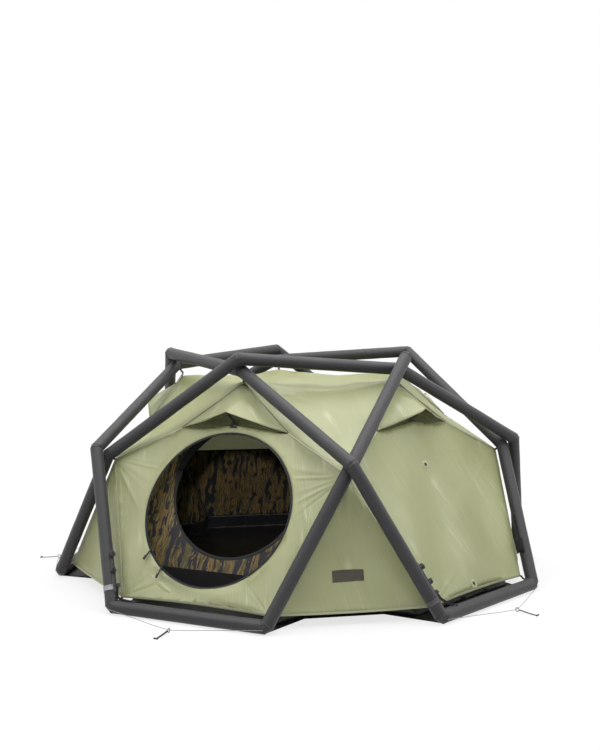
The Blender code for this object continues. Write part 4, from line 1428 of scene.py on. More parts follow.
@dataclass
class Flysheet:
    """The outer cloth: panels hung in the frame, vents with hoods, hems, seams, label and eyelets."""

    vent_half: float = 0.335
    vent_drop: float = 0.262
    vent_corner: float = 0.014
    sill_drop: float = 0.244
    hood_reach: float = 0.227
    hood_drop: float = 0.156
    door_radius: float = 0.430
    door_height: float = 0.542
    door_shift: float = 0.010
    zip_width: float = 0.012
    hem_sag: float = 0.010
    gusset_sag: float = -0.006
    hem_reach: float = 0.2
    top_sag: float = 0.040
    edge_sag: float = 0.028
    sag_floor: float = 0.78
    label_middle: tuple[float, float, float] = (0.764, -1.073, 0.252)
    label_size: tuple[float, float] = (0.160, 0.058)
    eyelet_heights: tuple[float, float] = (0.111, 0.736)

    def door(self) -> Vector:
        """Centre of the round door."""
        return OUTER.on_side(0, self.door_shift, self.door_height)

    def vent(self, side: int, hand: Hand) -> Line:
        """The two ends of a vent on its ridge: where the hood stops and where the panel starts."""
        end = OUTER.on_side(side, hand.value * self.vent_half, OUTER.top_height - self.vent_drop)
        return end + (OUTER.top(side) - end).normalized() * self.vent_corner, end

    def peak(self, side: int) -> Vector:
        """The middle of a hood's edge, which the prop holds out."""
        return PLAN.place(side, 0, OUTER.top_radius + self.hood_reach, OUTER.top_height - self.hood_drop)

    def panels(self) -> tuple[list[Panel], list[Line]]:
        """Cut the panels and crease them from their pulled corners.

        Returns:
            The panels, the front one second, and the seams between them.
        """
        dice, streaks = random.Random(7), random.Random(71)
        made = [Panel([OUTER.top(side) for side in range(PLAN.sides)])]
        for k in (0, 1):
            made[0].fan(OUTER.top(k), OUTER.top(1 - k), 60, 4, (0.3, 0.7), 0.006, 0.012, dice)
        seams = [(OUTER.top(side), OUTER.top(side)) for side in range(PLAN.sides)]
        for side in range(PLAN.sides):
            hood_left, left = self.vent(side, Hand.LEFT)
            hood_right, right = self.vent(side, Hand.RIGHT)
            next_hood, next_left = self.vent(side + 1, Hand.LEFT)
            top, next_top, peak = OUTER.top(side), OUTER.top(side + 1), self.peak(side)
            low, high, next_low = *(OUTER.hem(side, hand) for hand in Hand), OUTER.hem(side + 1, Hand.LEFT)
            waist, next_waist = OUTER.waist(side), OUTER.waist(side + 1)
            middle, foot, gap = OUTER.on_side(side, 0, 0.5), (high + next_low) / 2, (right + next_left) / 2
            full = 1.0 if side < 2 else 0.4
            sill = OUTER.on_side(side, 0, OUTER.top_height - self.sill_drop)
            main = Panel([low, high, next_waist, right, sill, left, waist])
            for corner in (waist, next_waist):
                main.fan(corner, middle, 32, round(5 * full), (0.25, 0.70), 0.0065, 0.013, dice)
            for corner in (low, high):
                main.fan(corner, middle, 30, round(3 * full), (0.15, 0.40), 0.0050, 0.012, dice)
            main.streaks(OUTER.on_side(side, 0, 0.55), (0.42, 0.30), 20.0, 5 if side == 1 else 2, streaks)
            hoods = [Panel([top, hood_left, peak], bulge=-0.006), Panel([top, peak, hood_right], bulge=-0.006)]
            for hood, corner in zip(hoods, (hood_left, hood_right)):
                hood.fan(peak, (top + corner) / 2, 40, 2, (0.1, 0.22), 0.004, 0.012, dice)
            upper = Panel([top, hood_right, right, next_left, next_hood, next_top])
            for corner in (top, next_top):
                upper.fan(corner, gap, 34, round(4 * full), (0.25, 0.6), 0.0065, 0.014, dice)
            small = Panel([right, next_waist, next_left])
            small.fan(next_waist, gap, 20, 3, (0.12, 0.26), 0.004, 0.009, dice)
            lower = Panel([high, next_low, next_waist])
            lower.fan(next_waist, foot, 16, round(6 * full), (0.3, 0.6), 0.0110, 0.013, dice)
            for corner, count, longest in ((high, 4, 0.4), (next_low, 3, 0.35)):
                lower.fan(corner, foot.lerp(next_waist, 0.5), 22, round(count * full), (0.15, longest), 0.0070, 0.012,
                          dice)
            made += [main, *hoods, upper, small, lower]
            seams += [(low, high), (high, next_low), (low, waist), (high, next_waist), (waist, left),
                      (next_waist, right), (top, hood_left), (top, hood_right), (peak, peak), (hood_left, left),
                      (hood_right, right)]
        return made, seams

    def build(self) -> None:
        """Make the cloth and what is sewn to it."""
        panels, seams = self.panels()
        sheet = Sheet(panels, 0.046, 0.0160, (self.door(), self.door_radius + self.zip_width / 2), 1)
        sheet.shape(seams, 0.035, 0.007, 3)
        sheet.pull(self.drape)
        sheet.soften([fold for k in range(PLAN.sides) for fold in (
            (OUTER.top(k), OUTER.top(k + 1)), (self.vent(k, Hand.RIGHT)[1], self.vent(k + 1, Hand.LEFT)[1]),
            (OUTER.top(k), self.peak(k)))], 0.06, 16)
        cloth = sheet.piece("flysheet_cloth", FLY, "fly_cloth", ["flysheet"])
        sheet.area()
        self.painted_shade_vent_nets()
        self.tapes()
        self.label(cloth)
        self.eyelets(cloth)

    def drape(self, spots: np.ndarray) -> np.ndarray:
        """Draw the hems up between their corners, and let the top sag between its five hooks.

        Args:
            spots: the cloth's points.

        Returns:
            The moved points.
        """
        moved = spots.copy()
        step = 360 / PLAN.sides
        turn = np.degrees(np.arctan2(spots[:, 1], spots[:, 0])) - PLAN.front
        rel = np.abs((turn + step / 2) % step - step / 2)
        radius = np.hypot(spots[:, 0], spots[:, 1])
        half = np.degrees(np.arctan2(OUTER.half_width, OUTER.base_distance))
        share = np.where(rel <= half, rel / half, (step / 2 - rel) / (step / 2 - half))
        low = np.clip((OUTER.base_height + self.hem_reach - spots[:, 2]) / self.hem_reach, 0, 1)
        rise = np.where(rel <= half, self.hem_sag, self.gusset_sag) * (1 - share**2) * low
        tight = np.tan(np.radians(step / 2 - rel)) / np.tan(np.radians(step / 2))
        edge = OUTER.top_radius * cos(pi / PLAN.sides) / np.cos(np.radians(step / 2 - rel))
        inner = np.clip(radius / edge, 0, 1) ** 2
        fade = np.clip((spots[:, 2] - self.sag_floor) / (OUTER.top_height - self.sag_floor), 0, 1)
        drop = (self.top_sag * (1 - inner) + self.edge_sag * (1 - tight**2) * inner) * fade
        moved[:, 2] += rise - drop
        moved[:, :2] *= (1 - rise * OUTER.slope / np.maximum(radius, 0.1))[:, None]
        return moved

    def hung(self, a: Vector, b: Vector, count: int) -> list[Vector]:
        """Points from one to another, moved as the cloth there hangs."""
        return [Vector(p) for p in self.drape(np.array(between(a, b, count)))]

    def tapes(self) -> None:
        """Hems and seam tapes: folded cloth along the edges and over the sewn lines."""
        bm = start_mesh()
        for side in range(PLAN.sides):
            hood_left = self.vent(side, Hand.LEFT)[0]
            hood_right, right = self.vent(side, Hand.RIGHT)
            low, high, next_low = *(OUTER.hem(side, hand) for hand in Hand), OUTER.hem(side + 1, Hand.LEFT)
            top, waist, next_waist = OUTER.top(side), OUTER.waist(side), OUTER.waist(side + 1)
            ridge, left_ridge = (OUTER.normal(side) + OUTER.normal(side + k) for k in (1, -1))
            for a, b in ((low, high), (high, next_low)):
                strap(bm, self.hung(a, b, 24), UP, 0.012, 0.0022, 10)
            for a, b, face in ((high, next_waist, ridge), (low, waist, left_ridge), (top, hood_left, UP),
                               (top, hood_right, UP), (next_waist, right, ridge),
                               (next_waist, self.vent(side + 1, Hand.LEFT)[1], ridge)):
                strap(bm, self.hung(a, b, 12), (b - a).normalized().cross(face), 0.009, 0.0018, 8)
            for a, b in ((hood_left, self.peak(side)), (self.peak(side), hood_right)):
                strap(bm, self.hung(a, b, 10), OUTER.normal(side), 0.008, 0.0020, 8)
        finish_piece("flysheet_hems", bm, SAGE_TAPE)

    def painted_shade_vent_nets(self) -> None:
        """The insect net that closes each vent behind its hood, dark olive and nearly opaque as painted shade under the
        hood.
        """
        panels = []
        for side in range(PLAN.sides):
            ends = [self.vent(side, hand)[1] - OUTER.normal(side) * 0.004 for hand in Hand]
            panels.append(Panel([*ends, OUTER.top(side) - UP * 0.012]))
        sheet = Sheet(panels, 0.05, 0.05)
        piece = sheet.piece("painted_shade_vent_nets", VENT_NET_PAINTED_SHADE, "mesh_cloth", [], 0.0004)
        sheet.area()

    def label(self, cloth: bpy.types.Object) -> None:
        """A blank woven label on the lower right triangle, with a turned edge."""
        high, low = OUTER.hem(0, Hand.RIGHT), OUTER.hem(1, Hand.LEFT)
        out = Panel([high, low, OUTER.waist(1)]).normal
        middle = Vector(self.label_middle)
        place = aim(middle - out * ((middle - high).dot(out) - 0.02), out, low - high)
        bm = start_mesh()
        lay = bm.verts.layers.float_vector["lay"]
        bmesh.ops.create_grid(bm, x_segments=40, y_segments=16, size=0.5)
        wide, tall = self.label_size
        for vert in bm.verts:
            x, y = vert.co.x * wide, vert.co.y * tall
            edge = min(wide / 2 - abs(x), tall / 2 - abs(y))
            rise = 0.0010 + (0.0018 if 0.0005 < edge < 0.0060 else 0.0004 if edge > 0 else 0.0)
            vert[lay] = Vector((x, y, 0))
            vert.co = cloth.closest_point_on_mesh(place @ vert[lay])[1] + out * rise
        bmesh.ops.solidify(bm, geom=bm.faces, thickness=0.0009)
        finish_piece("blank_label", bm, LABEL)

    def eyelets(self, cloth: bpy.types.Object) -> None:
        """Toggle eyelets up the middle of the side panels, each on a square patch."""
        profile = [(0.0, 0.0), (0.009, 0.0), (0.010, 0.001), (0.0085, 0.0025), (0.005, 0.0025), (0.0045, 0.001),
                   (0.0, 0.001)]
        loop = ((0.0, 0.0, 0.001), (0.004, 0.003, 0.006), (-0.006, 0.004, 0.006), (-0.016, 0.001, 0.004))
        for side in range(1, PLAN.sides):
            bm, patch = start_mesh(), start_mesh()
            out = OUTER.normal(side)
            for height in self.eyelet_heights:
                spot = cloth.closest_point_on_mesh(OUTER.on_side(side, -0.03, height) + out * 0.02)[1]
                place = aim(spot + out * 0.0016, out, OUTER.upward(side))
                block(patch, shifted(place, 0, 0, -0.001), (0.045, 0.045, 0.0012), 0.0004, 1)
                turned(bm, profile, place, 20)
                wire(bm, smooth_path([place @ Vector(p) for p in loop], 4), 0.0013)
            finish_piece(f"eyelets_{side + 1}", bm, BLACK_CORD)
            finish_piece(f"eyelet_patches_{side + 1}", patch, SAGE_TAPE)


@dataclass(frozen=True)
class Hooks:
    """S-hooks that hang the flysheet's upper corners under the crossings."""

    wire_radius: float = 0.0058
    bend: float = 0.006

    def build(self) -> None:
        """Make a hook for each of the ten corners."""
        for side in range(PLAN.sides):
            for kind, node, corner in (("crown", PLAN.crown(side), OUTER.top(side)),
                                       ("waist", PLAN.waist(side), OUTER.waist(side))):
                away = node.normalized()
                start = node - away * (PLAN.clearance + PLAN.tube_radius)
                across = away.cross(UP).normalized()
                bend = across * min(self.bend, (start - corner).length * 0.25)
                inward = (Vector((0, 0, corner.z * 0.7)) - corner).normalized() if kind == "waist" else -UP
                points = [corner + inward * 0.016 + away * 0.005 + bend * 0.5, corner + away * 0.004 + bend,
                          corner.lerp(start, 0.5), start - away * 0.001 - bend, start + UP * 0.010 - bend]
                bm = start_mesh()
                wire(bm, smooth_path(points, 5), self.wire_radius, 8, away.cross(across))
                finish_piece(f"s_hook_{kind}_{side + 1}", bm, VALVE_PLASTIC, replaces=[f"fly_hook_{kind}_{side + 1}"])


@dataclass(frozen=True)
class VentProps:
    """Flat stiffened props that hold the hoods out."""

    width: float = 0.015
    thickness: float = 0.0035
    share: float = 0.86
    foot_drop: float = 0.230
    tab: tuple[float, float, float] = (0.046, 0.026, 0.0016)

    def build(self) -> None:
        """Make the five props in the space of their solids, each with a tab sewn to the panel."""
        for side in range(PLAN.sides):
            name = f"vent_prop_{side + 1}"
            low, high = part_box(name)
            spots = [v.co.copy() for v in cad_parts[name].data.vertices]
            ends = [[p for p in spots if (p.z > (low.z + high.z) / 2) is above] for above in (False, True)]
            foot, top = (sum(end, Vector()) / max(1, len(end)) for end in ends)
            across, out = PLAN.place(side, 1, 0, 0), OUTER.normal(side)
            bm = start_mesh()
            strap(bm, between(foot, foot.lerp(top, self.share), 8), across, self.width, self.thickness, 12)
            finish_piece(f"hood_prop_{side + 1}", bm, WEBBING, name, [name])
            tab = start_mesh()
            spot = OUTER.on_side(side, 0, OUTER.top_height - self.foot_drop - 0.014)
            block(tab, aim(spot + out * 0.0050, out, across), self.tab, 0.0005, 1)
            finish_piece(f"prop_tab_{side + 1}", tab, TAPE)


# Doors


def edge_ring(name: str, finish: Finish, place: Matrix, radius: float,
              section: Sequence[tuple[float, float]], segments: int, replaces: Sequence[str] = ()) -> None:
    """Make a ring of cloth round a doorway.

    Args:
        name: the piece's name.
        finish: its surface.
        place: the doorway's frame, its Z outwards.
        radius: the ring's radius.
        section: its section, by how far out from that radius and how high, ending where it starts.
        segments: pieces in the turn.
        replaces: CAD nodes that it stands for.
    """
    bm = start_mesh()
    turned(bm, [(radius + out, rise) for out, rise in section], place, segments, closed=True)
    ring_map(bm, place, radius)
    finish_piece(name, bm, finish, replaces=replaces, sharp=50.0)


def slider_body(name: str, node: str, shell: Shell, centre: Vector, spot: Vector) -> None:
    """Make a lacquered zip slider with its raised bail.

    Args:
        name: the piece's name.
        node: the CAD node, and the body, that it stands for.
        shell: the cloth's shell.
        centre: the middle of the round zip.
        spot: where the slider sits on it.
    """
    out = shell.normal(0)
    place = aim(spot, out, out.cross(spot - centre).normalized())
    bm = start_mesh()
    block(bm, place, (0.016, 0.012, 0.0035), 0.0012, 3)
    block(bm, shifted(place, 0, 0, 0.0018), (0.010, 0.0035, 0.0024), 0.0009, 2)
    finish_piece(name, bm, SLIDER_METAL, node, [node], sharp=35.0)


def rolled_door(name: str, finish: Finish, node: str, spine: Sequence[Vector], face: Vector,
                radius: float, seed: int) -> None:
    """Make a rolled-up door: a soft round bundle with long folds and tied waists.

    Args:
        name: the piece's name.
        finish: its surface.
        node: the CAD node that it stands for.
        spine: its middle line.
        face: a direction across it.
        radius: its greatest radius.
        seed: start of its variation.
    """
    bm = start_mesh()
    dice = random.Random(seed)
    phase = [dice.uniform(0, 6.28) for _ in range(6)]
    rings = loft(bm, circle_ring(bm, radius, 28), frames_along(spine, face))
    for k, (ring, middle) in enumerate(zip(rings, spine)):
        share = k / (len(spine) - 1)
        end = min(1.0, 0.72 + 6 * min(share, 1 - share))
        tie = 1 - 0.16 * sum(max(0.0, 1 - abs(share - waist) / 0.05) for waist in (0.28, 0.75))
        for n, vert in enumerate(ring):
            turn = 2 * pi * n / len(ring)
            fold = (0.035 * sin(3 * turn + 5 * share + phase[0]) + 0.025 * sin(7 * turn - 9 * share + phase[1])
                    + 0.02 * sin(31 * share + 2 * turn + phase[2]))
            vert.co = middle + (vert.co - middle) * (0.90 + fold) * end * tie
    finish_piece(name, bm, finish, replaces=[node])


@dataclass(frozen=True)
class OuterDoor:
    """The round zip, its two sliders and the rolled-up door."""

    fly: Flysheet
    tape: float = 0.012
    proud: float = 0.0015
    teeth: int = 900
    roll_offset: float = 0.070
    roll_radius: float = 0.028

    def build(self) -> None:
        """Make the ring, the sliders and the roll, which lies inside the flysheet, below the opening."""
        self.ring()
        for label, degrees, lean in (("left", 218.0, 0.45), ("right", 235.0, 0.2)):
            self.slider(label, degrees, lean)
        lift = -(0.002 + GAP + self.roll_radius)
        spine = [OUTER.round(self.fly.door(), self.fly.door_radius + self.roll_offset, 198 + 54 * k / 28, lift)
                 for k in range(29)]
        rolled_door("outer_door_bundle", FLY, "outer_door_roll", spine, OUTER.normal(0),
                    self.roll_radius, 11)

    def ring(self) -> None:
        """The zip: tape, binding and two rows of coil teeth."""
        place = aim(self.fly.door(), OUTER.normal(0), OUTER.upward(0))
        radius, half = self.fly.door_radius, self.tape / 2
        section = ((-half, -0.0030), (-half - 0.0004, -0.0005), (-half, 0.0010), (-0.0035, 0.0006),
                   (-0.0028, -0.0004), (0.0028, -0.0004), (0.0035, 0.0006), (half - 0.001, 0.0014), (half, 0.0004),
                   (half, -0.0030), (-half, -0.0030))
        edge_ring("door_zip_tape", TAPE, place, radius, section, 192, ["door_zip"])
        bm = start_mesh()
        for k in range(self.teeth):
            turn = 2 * pi * k / self.teeth
            spoke = Vector((cos(turn), sin(turn), 0))
            here = place @ aim(spoke * (radius + (0.0011 if k % 2 else -0.0011)) + UP * 0.0004, UP, spoke)
            bmesh.ops.create_cube(bm, size=1.0, matrix=here @ Matrix.Diagonal((0.0034, 0.0021, 0.0018, 1)))
        finish_piece("door_zip_coil", bm, VALVE_PLASTIC)

    def slider(self, label: str, degrees: float, lean: float) -> None:
        """A slider on the zip, with a cord pull that hangs down the cloth and leans to the left."""
        centre, node = self.fly.door(), f"door_slider_{label}"
        spot = OUTER.round(centre, self.fly.door_radius, degrees, self.proud + GAP + 0.002)
        slider_body(f"door_slider_body_{label}", node, OUTER, centre, spot)
        out = OUTER.normal(0)
        down = (-OUTER.upward(0) - PLAN.place(0, lean, 0, 0)).normalized()
        side = down.cross(out)
        points = [spot + down * along + out * rise + side * across for along, rise, across in (
            (0.0, 0.0030, 0.0), (0.010, 0.0060, 0.0012), (0.026, 0.0095, -0.0008), (0.040, 0.0120, 0.0))]
        bm = start_mesh()
        wire(bm, smooth_path(points, 4), 0.0042, 8, side)
        block(bm, aim(spot + down * 0.046 + out * 0.0135, down, side), (0.0125, 0.0080, 0.027), 0.0024, 2)
        finish_piece(f"door_pull_{label}", bm, BLACK_CORD, node)


# Inner tent and groundsheet


@dataclass(frozen=True)
class InnerTent:
    """Printed walls, net roof, floor tub, inner door and its roll."""

    notch_setback: float = 0.062
    notch_half: float = 0.216
    tub_height: float = 0.100
    sill_height: float = 0.212
    gable_height: float = 0.985
    door_radius: float = 0.385
    door_height: float = 0.620
    door_shift: float = 0.045
    roll_radius: float = 0.022
    floor_creases: int = 26

    def notch(self, side: int, hand: Hand, height: float) -> Vector:
        """A corner of the set-back stretch between a side and the next one to its right."""
        fall = (height - self.tub_height) * INNER.slope / 2
        distance = INNER.base_distance - self.notch_setback - fall
        return PLAN.place(side + 0.5, hand.value * self.notch_half, distance, height)

    def gable(self) -> list[Vector]:
        """The two points where the front wall's print ends and its net gable begins."""
        share = (self.gable_height - INNER.waist_height) / (INNER.top_height - INNER.waist_height)
        return [INNER.waist(k).lerp(INNER.top(0), share) for k in (0, 1)]

    def door(self) -> Vector:
        """Centre of the inner door."""
        return INNER.on_side(0, self.door_shift, self.door_height)

    def build(self) -> None:
        """Make the walls, roof, tub and door edge, and the door rolled up along the left of its doorway."""
        self.walls()
        self.seam_tapes()
        self.roof()
        self.tub()
        self.door_edge()
        spine = [INNER.round(self.door(), self.door_radius, 100 + 68 * k / 30, GAP + self.roll_radius)
                 for k in range(31)]
        rolled_door("inner_door_bundle", LINING, "inner_door_roll", spine, INNER.normal(0),
                    self.roll_radius, 12)

    def walls(self) -> None:
        """The printed walls in one sheet, the front one higher and with the doorway."""
        dice = random.Random(21)
        low = self.tub_height + GAP
        gable = self.gable()
        panels, seams = [], [(gable[1], INNER.waist(1)), (gable[0], gable[1])]
        for side in range(PLAN.sides):
            foot, waist, next_waist = INNER.hem(side, Hand.LEFT, low), INNER.waist(side), INNER.waist(side + 1)
            row = [INNER.hem(side, Hand.RIGHT, low), *(self.notch(side, h, low) for h in Hand),
                   INNER.hem(side + 1, Hand.LEFT, low)]
            wall = Panel([foot, row[0], next_waist, *([] if side else reversed(gable)), waist])
            for corner in (waist, next_waist):
                wall.fan(corner, INNER.on_side(side, 0, 0.35), 30, 6, (0.2, 0.5), 0.004, 0.014, dice)
            panels += [wall, *(Panel([a, b, next_waist]) for a, b in zip(row, row[1:]))]
            seams += [(foot, row[0]), (foot, waist), *((spot, next_waist) for spot in row[:3]), *zip(row, row[1:]),
                      (waist, next_waist if side else gable[0])]
        sheet = Sheet(panels, 0.035, 0.014, (self.door(), self.door_radius), 0)
        sheet.shape(seams, 0.05, 0.006, 5)
        piece = sheet.piece("inner_walls", CAMOUFLAGE, "inner_cloth", ["inner_tent"])
        area = sheet.area()

    def seam_tapes(self) -> None:
        """The tapes over the walls' seams, and the band below the doorway."""
        bm = start_mesh()
        low = self.tub_height + GAP
        for side in range(PLAN.sides):
            waist, ridge = INNER.waist(side + 1), INNER.normal(side) + INNER.normal(side + 1)
            rows = [(INNER.hem(side, Hand.RIGHT, low), ridge, 8, 0.010),
                    (INNER.hem(side + 1, Hand.LEFT, low), ridge, 8, 0.010)]
            if side:
                rows.append((INNER.waist(side), INNER.normal(side), 10, 0.012))
            for start, face, count, width in rows:
                strap(bm, [spot * 0.998 for spot in between(start, waist, count)], (waist - start).cross(face), width,
                      0.002, 8)
        finish_piece("inner_seam_tapes", bm, WEBBING)
        bm = start_mesh()
        ends = [INNER.on_side(0, h.value * (INNER.half_width - 0.01), (self.sill_height + self.tub_height) / 2)
                + INNER.normal(0) * 0.009 for h in Hand]
        loft(bm, band_ring(bm, self.sill_height - self.tub_height, 0.0024, 20, 0.2),
             frames_along(between(*ends, 24), INNER.upward(0)))
        finish_piece("inner_door_sill", bm, LINING)

    def roof(self) -> None:
        """The net roof above the walls."""
        lift = 1 + 0.00045 / INNER.top_radius
        panels = [Panel([INNER.top(side) * lift for side in range(PLAN.sides)], bulge=-0.012)]
        seams = []
        for side in range(PLAN.sides):
            top, next_top, waist, right = INNER.top(side), INNER.top(side + 1), INNER.waist(side), INNER.waist(side + 1)
            low = [waist, right] if side else self.gable()
            panels += [Panel([spot * lift for spot in spots]) for spots in ((*low, top), (top, right, next_top))]
            seams += [(waist, top), (top, right), (top, next_top), (waist, right)]
        sheet = Sheet(panels, 0.05, 0.03)
        sheet.shape(seams, 0.06, 0.006, 6)
        piece = sheet.piece("net_roof", NET, "mesh_cloth", ["mesh_roof"], 0.0006, inward=False)
        area = sheet.area()

    def tub_loop(self, height: float) -> list[Vector]:
        """The tub's outline at a height."""
        return [spot(side, hand, height) for side in range(PLAN.sides) for spot in (INNER.hem, self.notch)
                for hand in Hand]

    def tub(self) -> None:
        """Floor and turned-up wall of coated cloth in one piece, with soft wrinkles."""
        low = 0.002 + GAP + 0.0012
        floor, rim = self.tub_loop(low), self.tub_loop(self.tub_height)
        ground = Panel(floor)
        ground.normal = -UP
        dice = random.Random(31)
        for _ in range(self.floor_creases):
            turn, reach = dice.uniform(0, 2 * pi), dice.uniform(0.1, 0.95)
            spot = Vector((reach * cos(turn), reach * sin(turn), low))
            way = Vector((cos(turn + dice.uniform(-1, 1)), sin(turn + dice.uniform(-1, 1)), 0)).normalized()
            ground.creases.append(Crease(spot, spot + way * dice.uniform(0.15, 0.4), -dice.uniform(0.001, 0.003),
                                         0.014))
        walls = [Panel([a, b, d, c]) for (a, b), (c, d) in zip(pairs(floor), pairs(rim))]
        sheet = Sheet([ground, *walls], 0.045, 0.016)
        sheet.shape(pairs(floor) + pairs(rim), 0.04, 0.0, 7)
        piece = sheet.piece("floor_tub_cloth", FLOOR_CLOTH, "floor_cloth", ["floor_tub", "tub_wall"])
        area = sheet.area()

    def door_edge(self) -> None:
        """Binding and zip tape round the inner doorway, with its slider."""
        centre, r = self.door(), self.door_radius
        section = ((-0.004, -0.0020), (-0.0045, 0.0005), (-0.003, 0.0016), (0.004, 0.0012), (0.012, 0.0008),
                   (0.013, 0.0002), (0.012, -0.0020), (-0.004, -0.0020))
        edge_ring("inner_door_binding", WEBBING, aim(centre, INNER.normal(0), INNER.upward(0)), r,
                  section, 128)
        slider_body("inner_slider_body", "inner_door_slider", INNER, centre,
                    INNER.round(centre, r + 0.010, 205.0, GAP + 0.002))


@dataclass(frozen=True)
class Groundsheet:
    """The black sheet under the tent, tucked under the floor bars."""

    inner: InnerTent
    tip_setback: float = 0.014
    bar_setback: float = 0.0098
    margin: float = 0.047
    height: float = 0.0012

    def build(self) -> None:
        """Make the sheet with a folded hem."""
        edge, tip = PLAN.bar_distance - self.bar_setback, PLAN.bar_half - self.tip_setback
        base = INNER.base_distance - self.inner.notch_setback + self.margin
        outline = [PLAN.place(side + turn, hand.value * half, distance, self.height) for side in range(PLAN.sides)
                   for turn, half, distance in ((0, tip, edge), (0.5, self.inner.notch_half, base)) for hand in Hand]
        panel = Panel(outline)
        panel.normal = UP.copy()
        sheet = Sheet([panel], 0.05, 0.02)
        piece = sheet.piece("groundsheet_cloth", FLOOR_CLOTH, "floor_cloth", ["groundsheet"])
        max(sheet.area(), 0.3 * 2.9 * 2.9)
        bm = start_mesh()
        for a, b in pairs(outline):
            strap(bm, between(a, b, 8), (b - a).cross(UP), 0.014, 0.0018, 8)
        finish_piece("groundsheet_hem", bm, WEBBING)


# Pouch, guylines and corner fittings


@dataclass(frozen=True)
class Pouch:
    """The flat repair pouch that hangs on the right-hand leg."""

    distance: float = 0.225
    height: float = 0.080
    width: float = 0.050
    thickness: float = 0.014
    strap_low: float = 0.27
    strap_step: float = 0.012

    def build(self) -> None:
        """Make the stuffed pouch, and the strap that holds it."""
        foot = PLAN.corner(1, Hand.RIGHT)
        axis = (PLAN.over(PLAN.waist(2), -1) - foot).normalized()
        bar = (PLAN.corner(1, Hand.LEFT) - foot).normalized()
        inward = (bar - axis * bar.dot(axis)).normalized()
        cross = axis.cross(inward)
        place = aim(foot + axis * self.distance + inward * (PLAN.tube_radius + GAP + self.thickness / 2), axis, cross)
        bm = start_mesh()
        lay = bm.verts.layers.float_vector["lay"]
        bmesh.ops.create_cube(bm, size=1.0,
                              matrix=place @ Matrix.Diagonal((self.width, self.thickness, self.height, 1)))
        bmesh.ops.subdivide_edges(bm, edges=bm.edges, cuts=7, use_grid_fill=True)
        back = place.inverted()
        for vert in bm.verts:
            rel = back @ vert.co
            x, z = rel.x / (self.width / 2), rel.z / (self.height / 2)
            rel.y *= 0.25 + 0.75 * max(0.0, 1 - abs(x) ** 4) ** 0.5 * max(0.0, 1 - abs(z) ** 5) ** 0.5
            vert.co = place @ rel
            vert[lay] = Vector((rel.x, rel.z, 0))
        piece = finish_piece("repair_pouch_body", bm, WEBBING, replaces=["repair_pouch"])
        bm = start_mesh()
        start = foot + axis * self.strap_low + inward * (PLAN.tube_radius + 0.0014)
        strap(bm, [start + axis * self.strap_step * k for k in range(13)], cross, 0.012, 0.0018)
        finish_piece("pouch_strap", bm, WEBBING)


@dataclass(frozen=True)
class Guyline:
    """A guyline from a floor bar through its ring, with its strap and peg toggle.

    Its route is given from one end of the bar by the share of the bar's half, how far out and how high, and
    then to the ring by how far from its middle, how short of its inner side and how high over its middle.
    """

    label: str
    side: int
    radius: float = 0.0015
    reach: float = 0.172
    ring_radius: float = 0.010
    wire_radius: float = 0.002
    strap_length: float = 0.120
    from_bar: tuple = ((1.0, 0.0, 0.030), (0.86, 0.019, 0.0275), (0.55, 0.062, 0.0225))
    to_ring: tuple = ((0.1136, 0.0245, 0.0045), (0.020, 0.0028, 0.0006), (0.007, 0.0004, 0.0))

    @property
    def ring_distance(self) -> float:
        """Distance of the ring from the middle of the tent."""
        return PLAN.bar_distance + self.reach

    @property
    def ring_height(self) -> float:
        """Height of the ring's middle, at which it stands on the ground."""
        return self.ring_radius + self.wire_radius

    def route(self) -> list[Vector]:
        """The cord's smooth route from one end of the bar, through the ring and back."""
        start = PLAN.bar_distance + PLAN.base_height + GAP + self.radius
        apex = self.ring_distance - self.ring_radius + self.wire_radius + self.radius + GAP
        half = [(PLAN.bar_half * share, start + out, rise) for share, out, rise in self.from_bar]
        half += [(lateral, apex - short, self.ring_height + rise) for lateral, short, rise in self.to_ring]
        return smooth_path([PLAN.place(self.side, -x, d, z) for x, d, z in half]
                           + [PLAN.place(self.side, x, d, z) for x, d, z in reversed(half)], 3)

    def cord(self, points: Sequence[Vector]) -> bpy.types.Object:
        """Make the cord along its route."""
        name = f"guyline_{self.label}"
        curve = bpy.data.curves.new(name, "CURVE")
        curve.dimensions = "3D"
        curve.bevel_depth = self.radius
        curve.bevel_resolution = 3
        curve.use_fill_caps = True
        spline = curve.splines.new("POLY")
        spline.points.add(len(points) - 1)
        for spot, point in zip(spline.points, points):
            spot.co = (*point, 1.0)
        curve.materials.append(CORD.material())
        return hand_over(into_scene(name, curve), BODY, [f"guy_cord_{self.label}"])

    def build(self) -> None:
        points = self.route()
        cord = self.cord(points)
        centre = PLAN.place(self.side, 0, self.ring_distance, self.ring_height)
        across, out = PLAN.place(self.side, 1, 0, 0), PLAN.place(self.side, 0, 1, 0)
        bm = start_mesh()
        turns = [2 * pi * k / 10 for k in range(11)]
        turned(bm, [(self.ring_radius + self.wire_radius * cos(turn), self.wire_radius * sin(turn)) for turn in turns],
               aim(centre, across, out), 32, closed=True)
        peg = finish_piece(f"guy_ring_{self.label}", bm, VALVE_PLASTIC, replaces=[f"guy_strap_{self.label}"])
        bm = start_mesh()
        start = centre + out * (self.ring_radius + 0.001)
        end = PLAN.place(self.side, 0, self.ring_distance + self.strap_length, 0.0022)
        path = smooth_path([start, start.lerp(end, 0.35) - UP * 0.001, start.lerp(end, 0.75) - UP * 0.0008, end], 5)
        strap(bm, path, across, 0.012, 0.0022)
        for point in (path[2], path[5]):
            block(bm, aim(point + UP * 0.0004, UP, across), (0.013, 0.003, 0.0036), 0.0008, 1)
        finish_piece(f"guy_webbing_{self.label}", bm, WEBBING)
        bm = start_mesh()
        middle = PLAN.place(self.side, 0, self.ring_distance + self.strap_length, 0.005)
        wire(bm, between(middle - across * 0.012, middle + across * 0.012, 12), 0.004, 14)
        finish_piece(f"guy_toggle_{self.label}", bm, VALVE_PLASTIC)


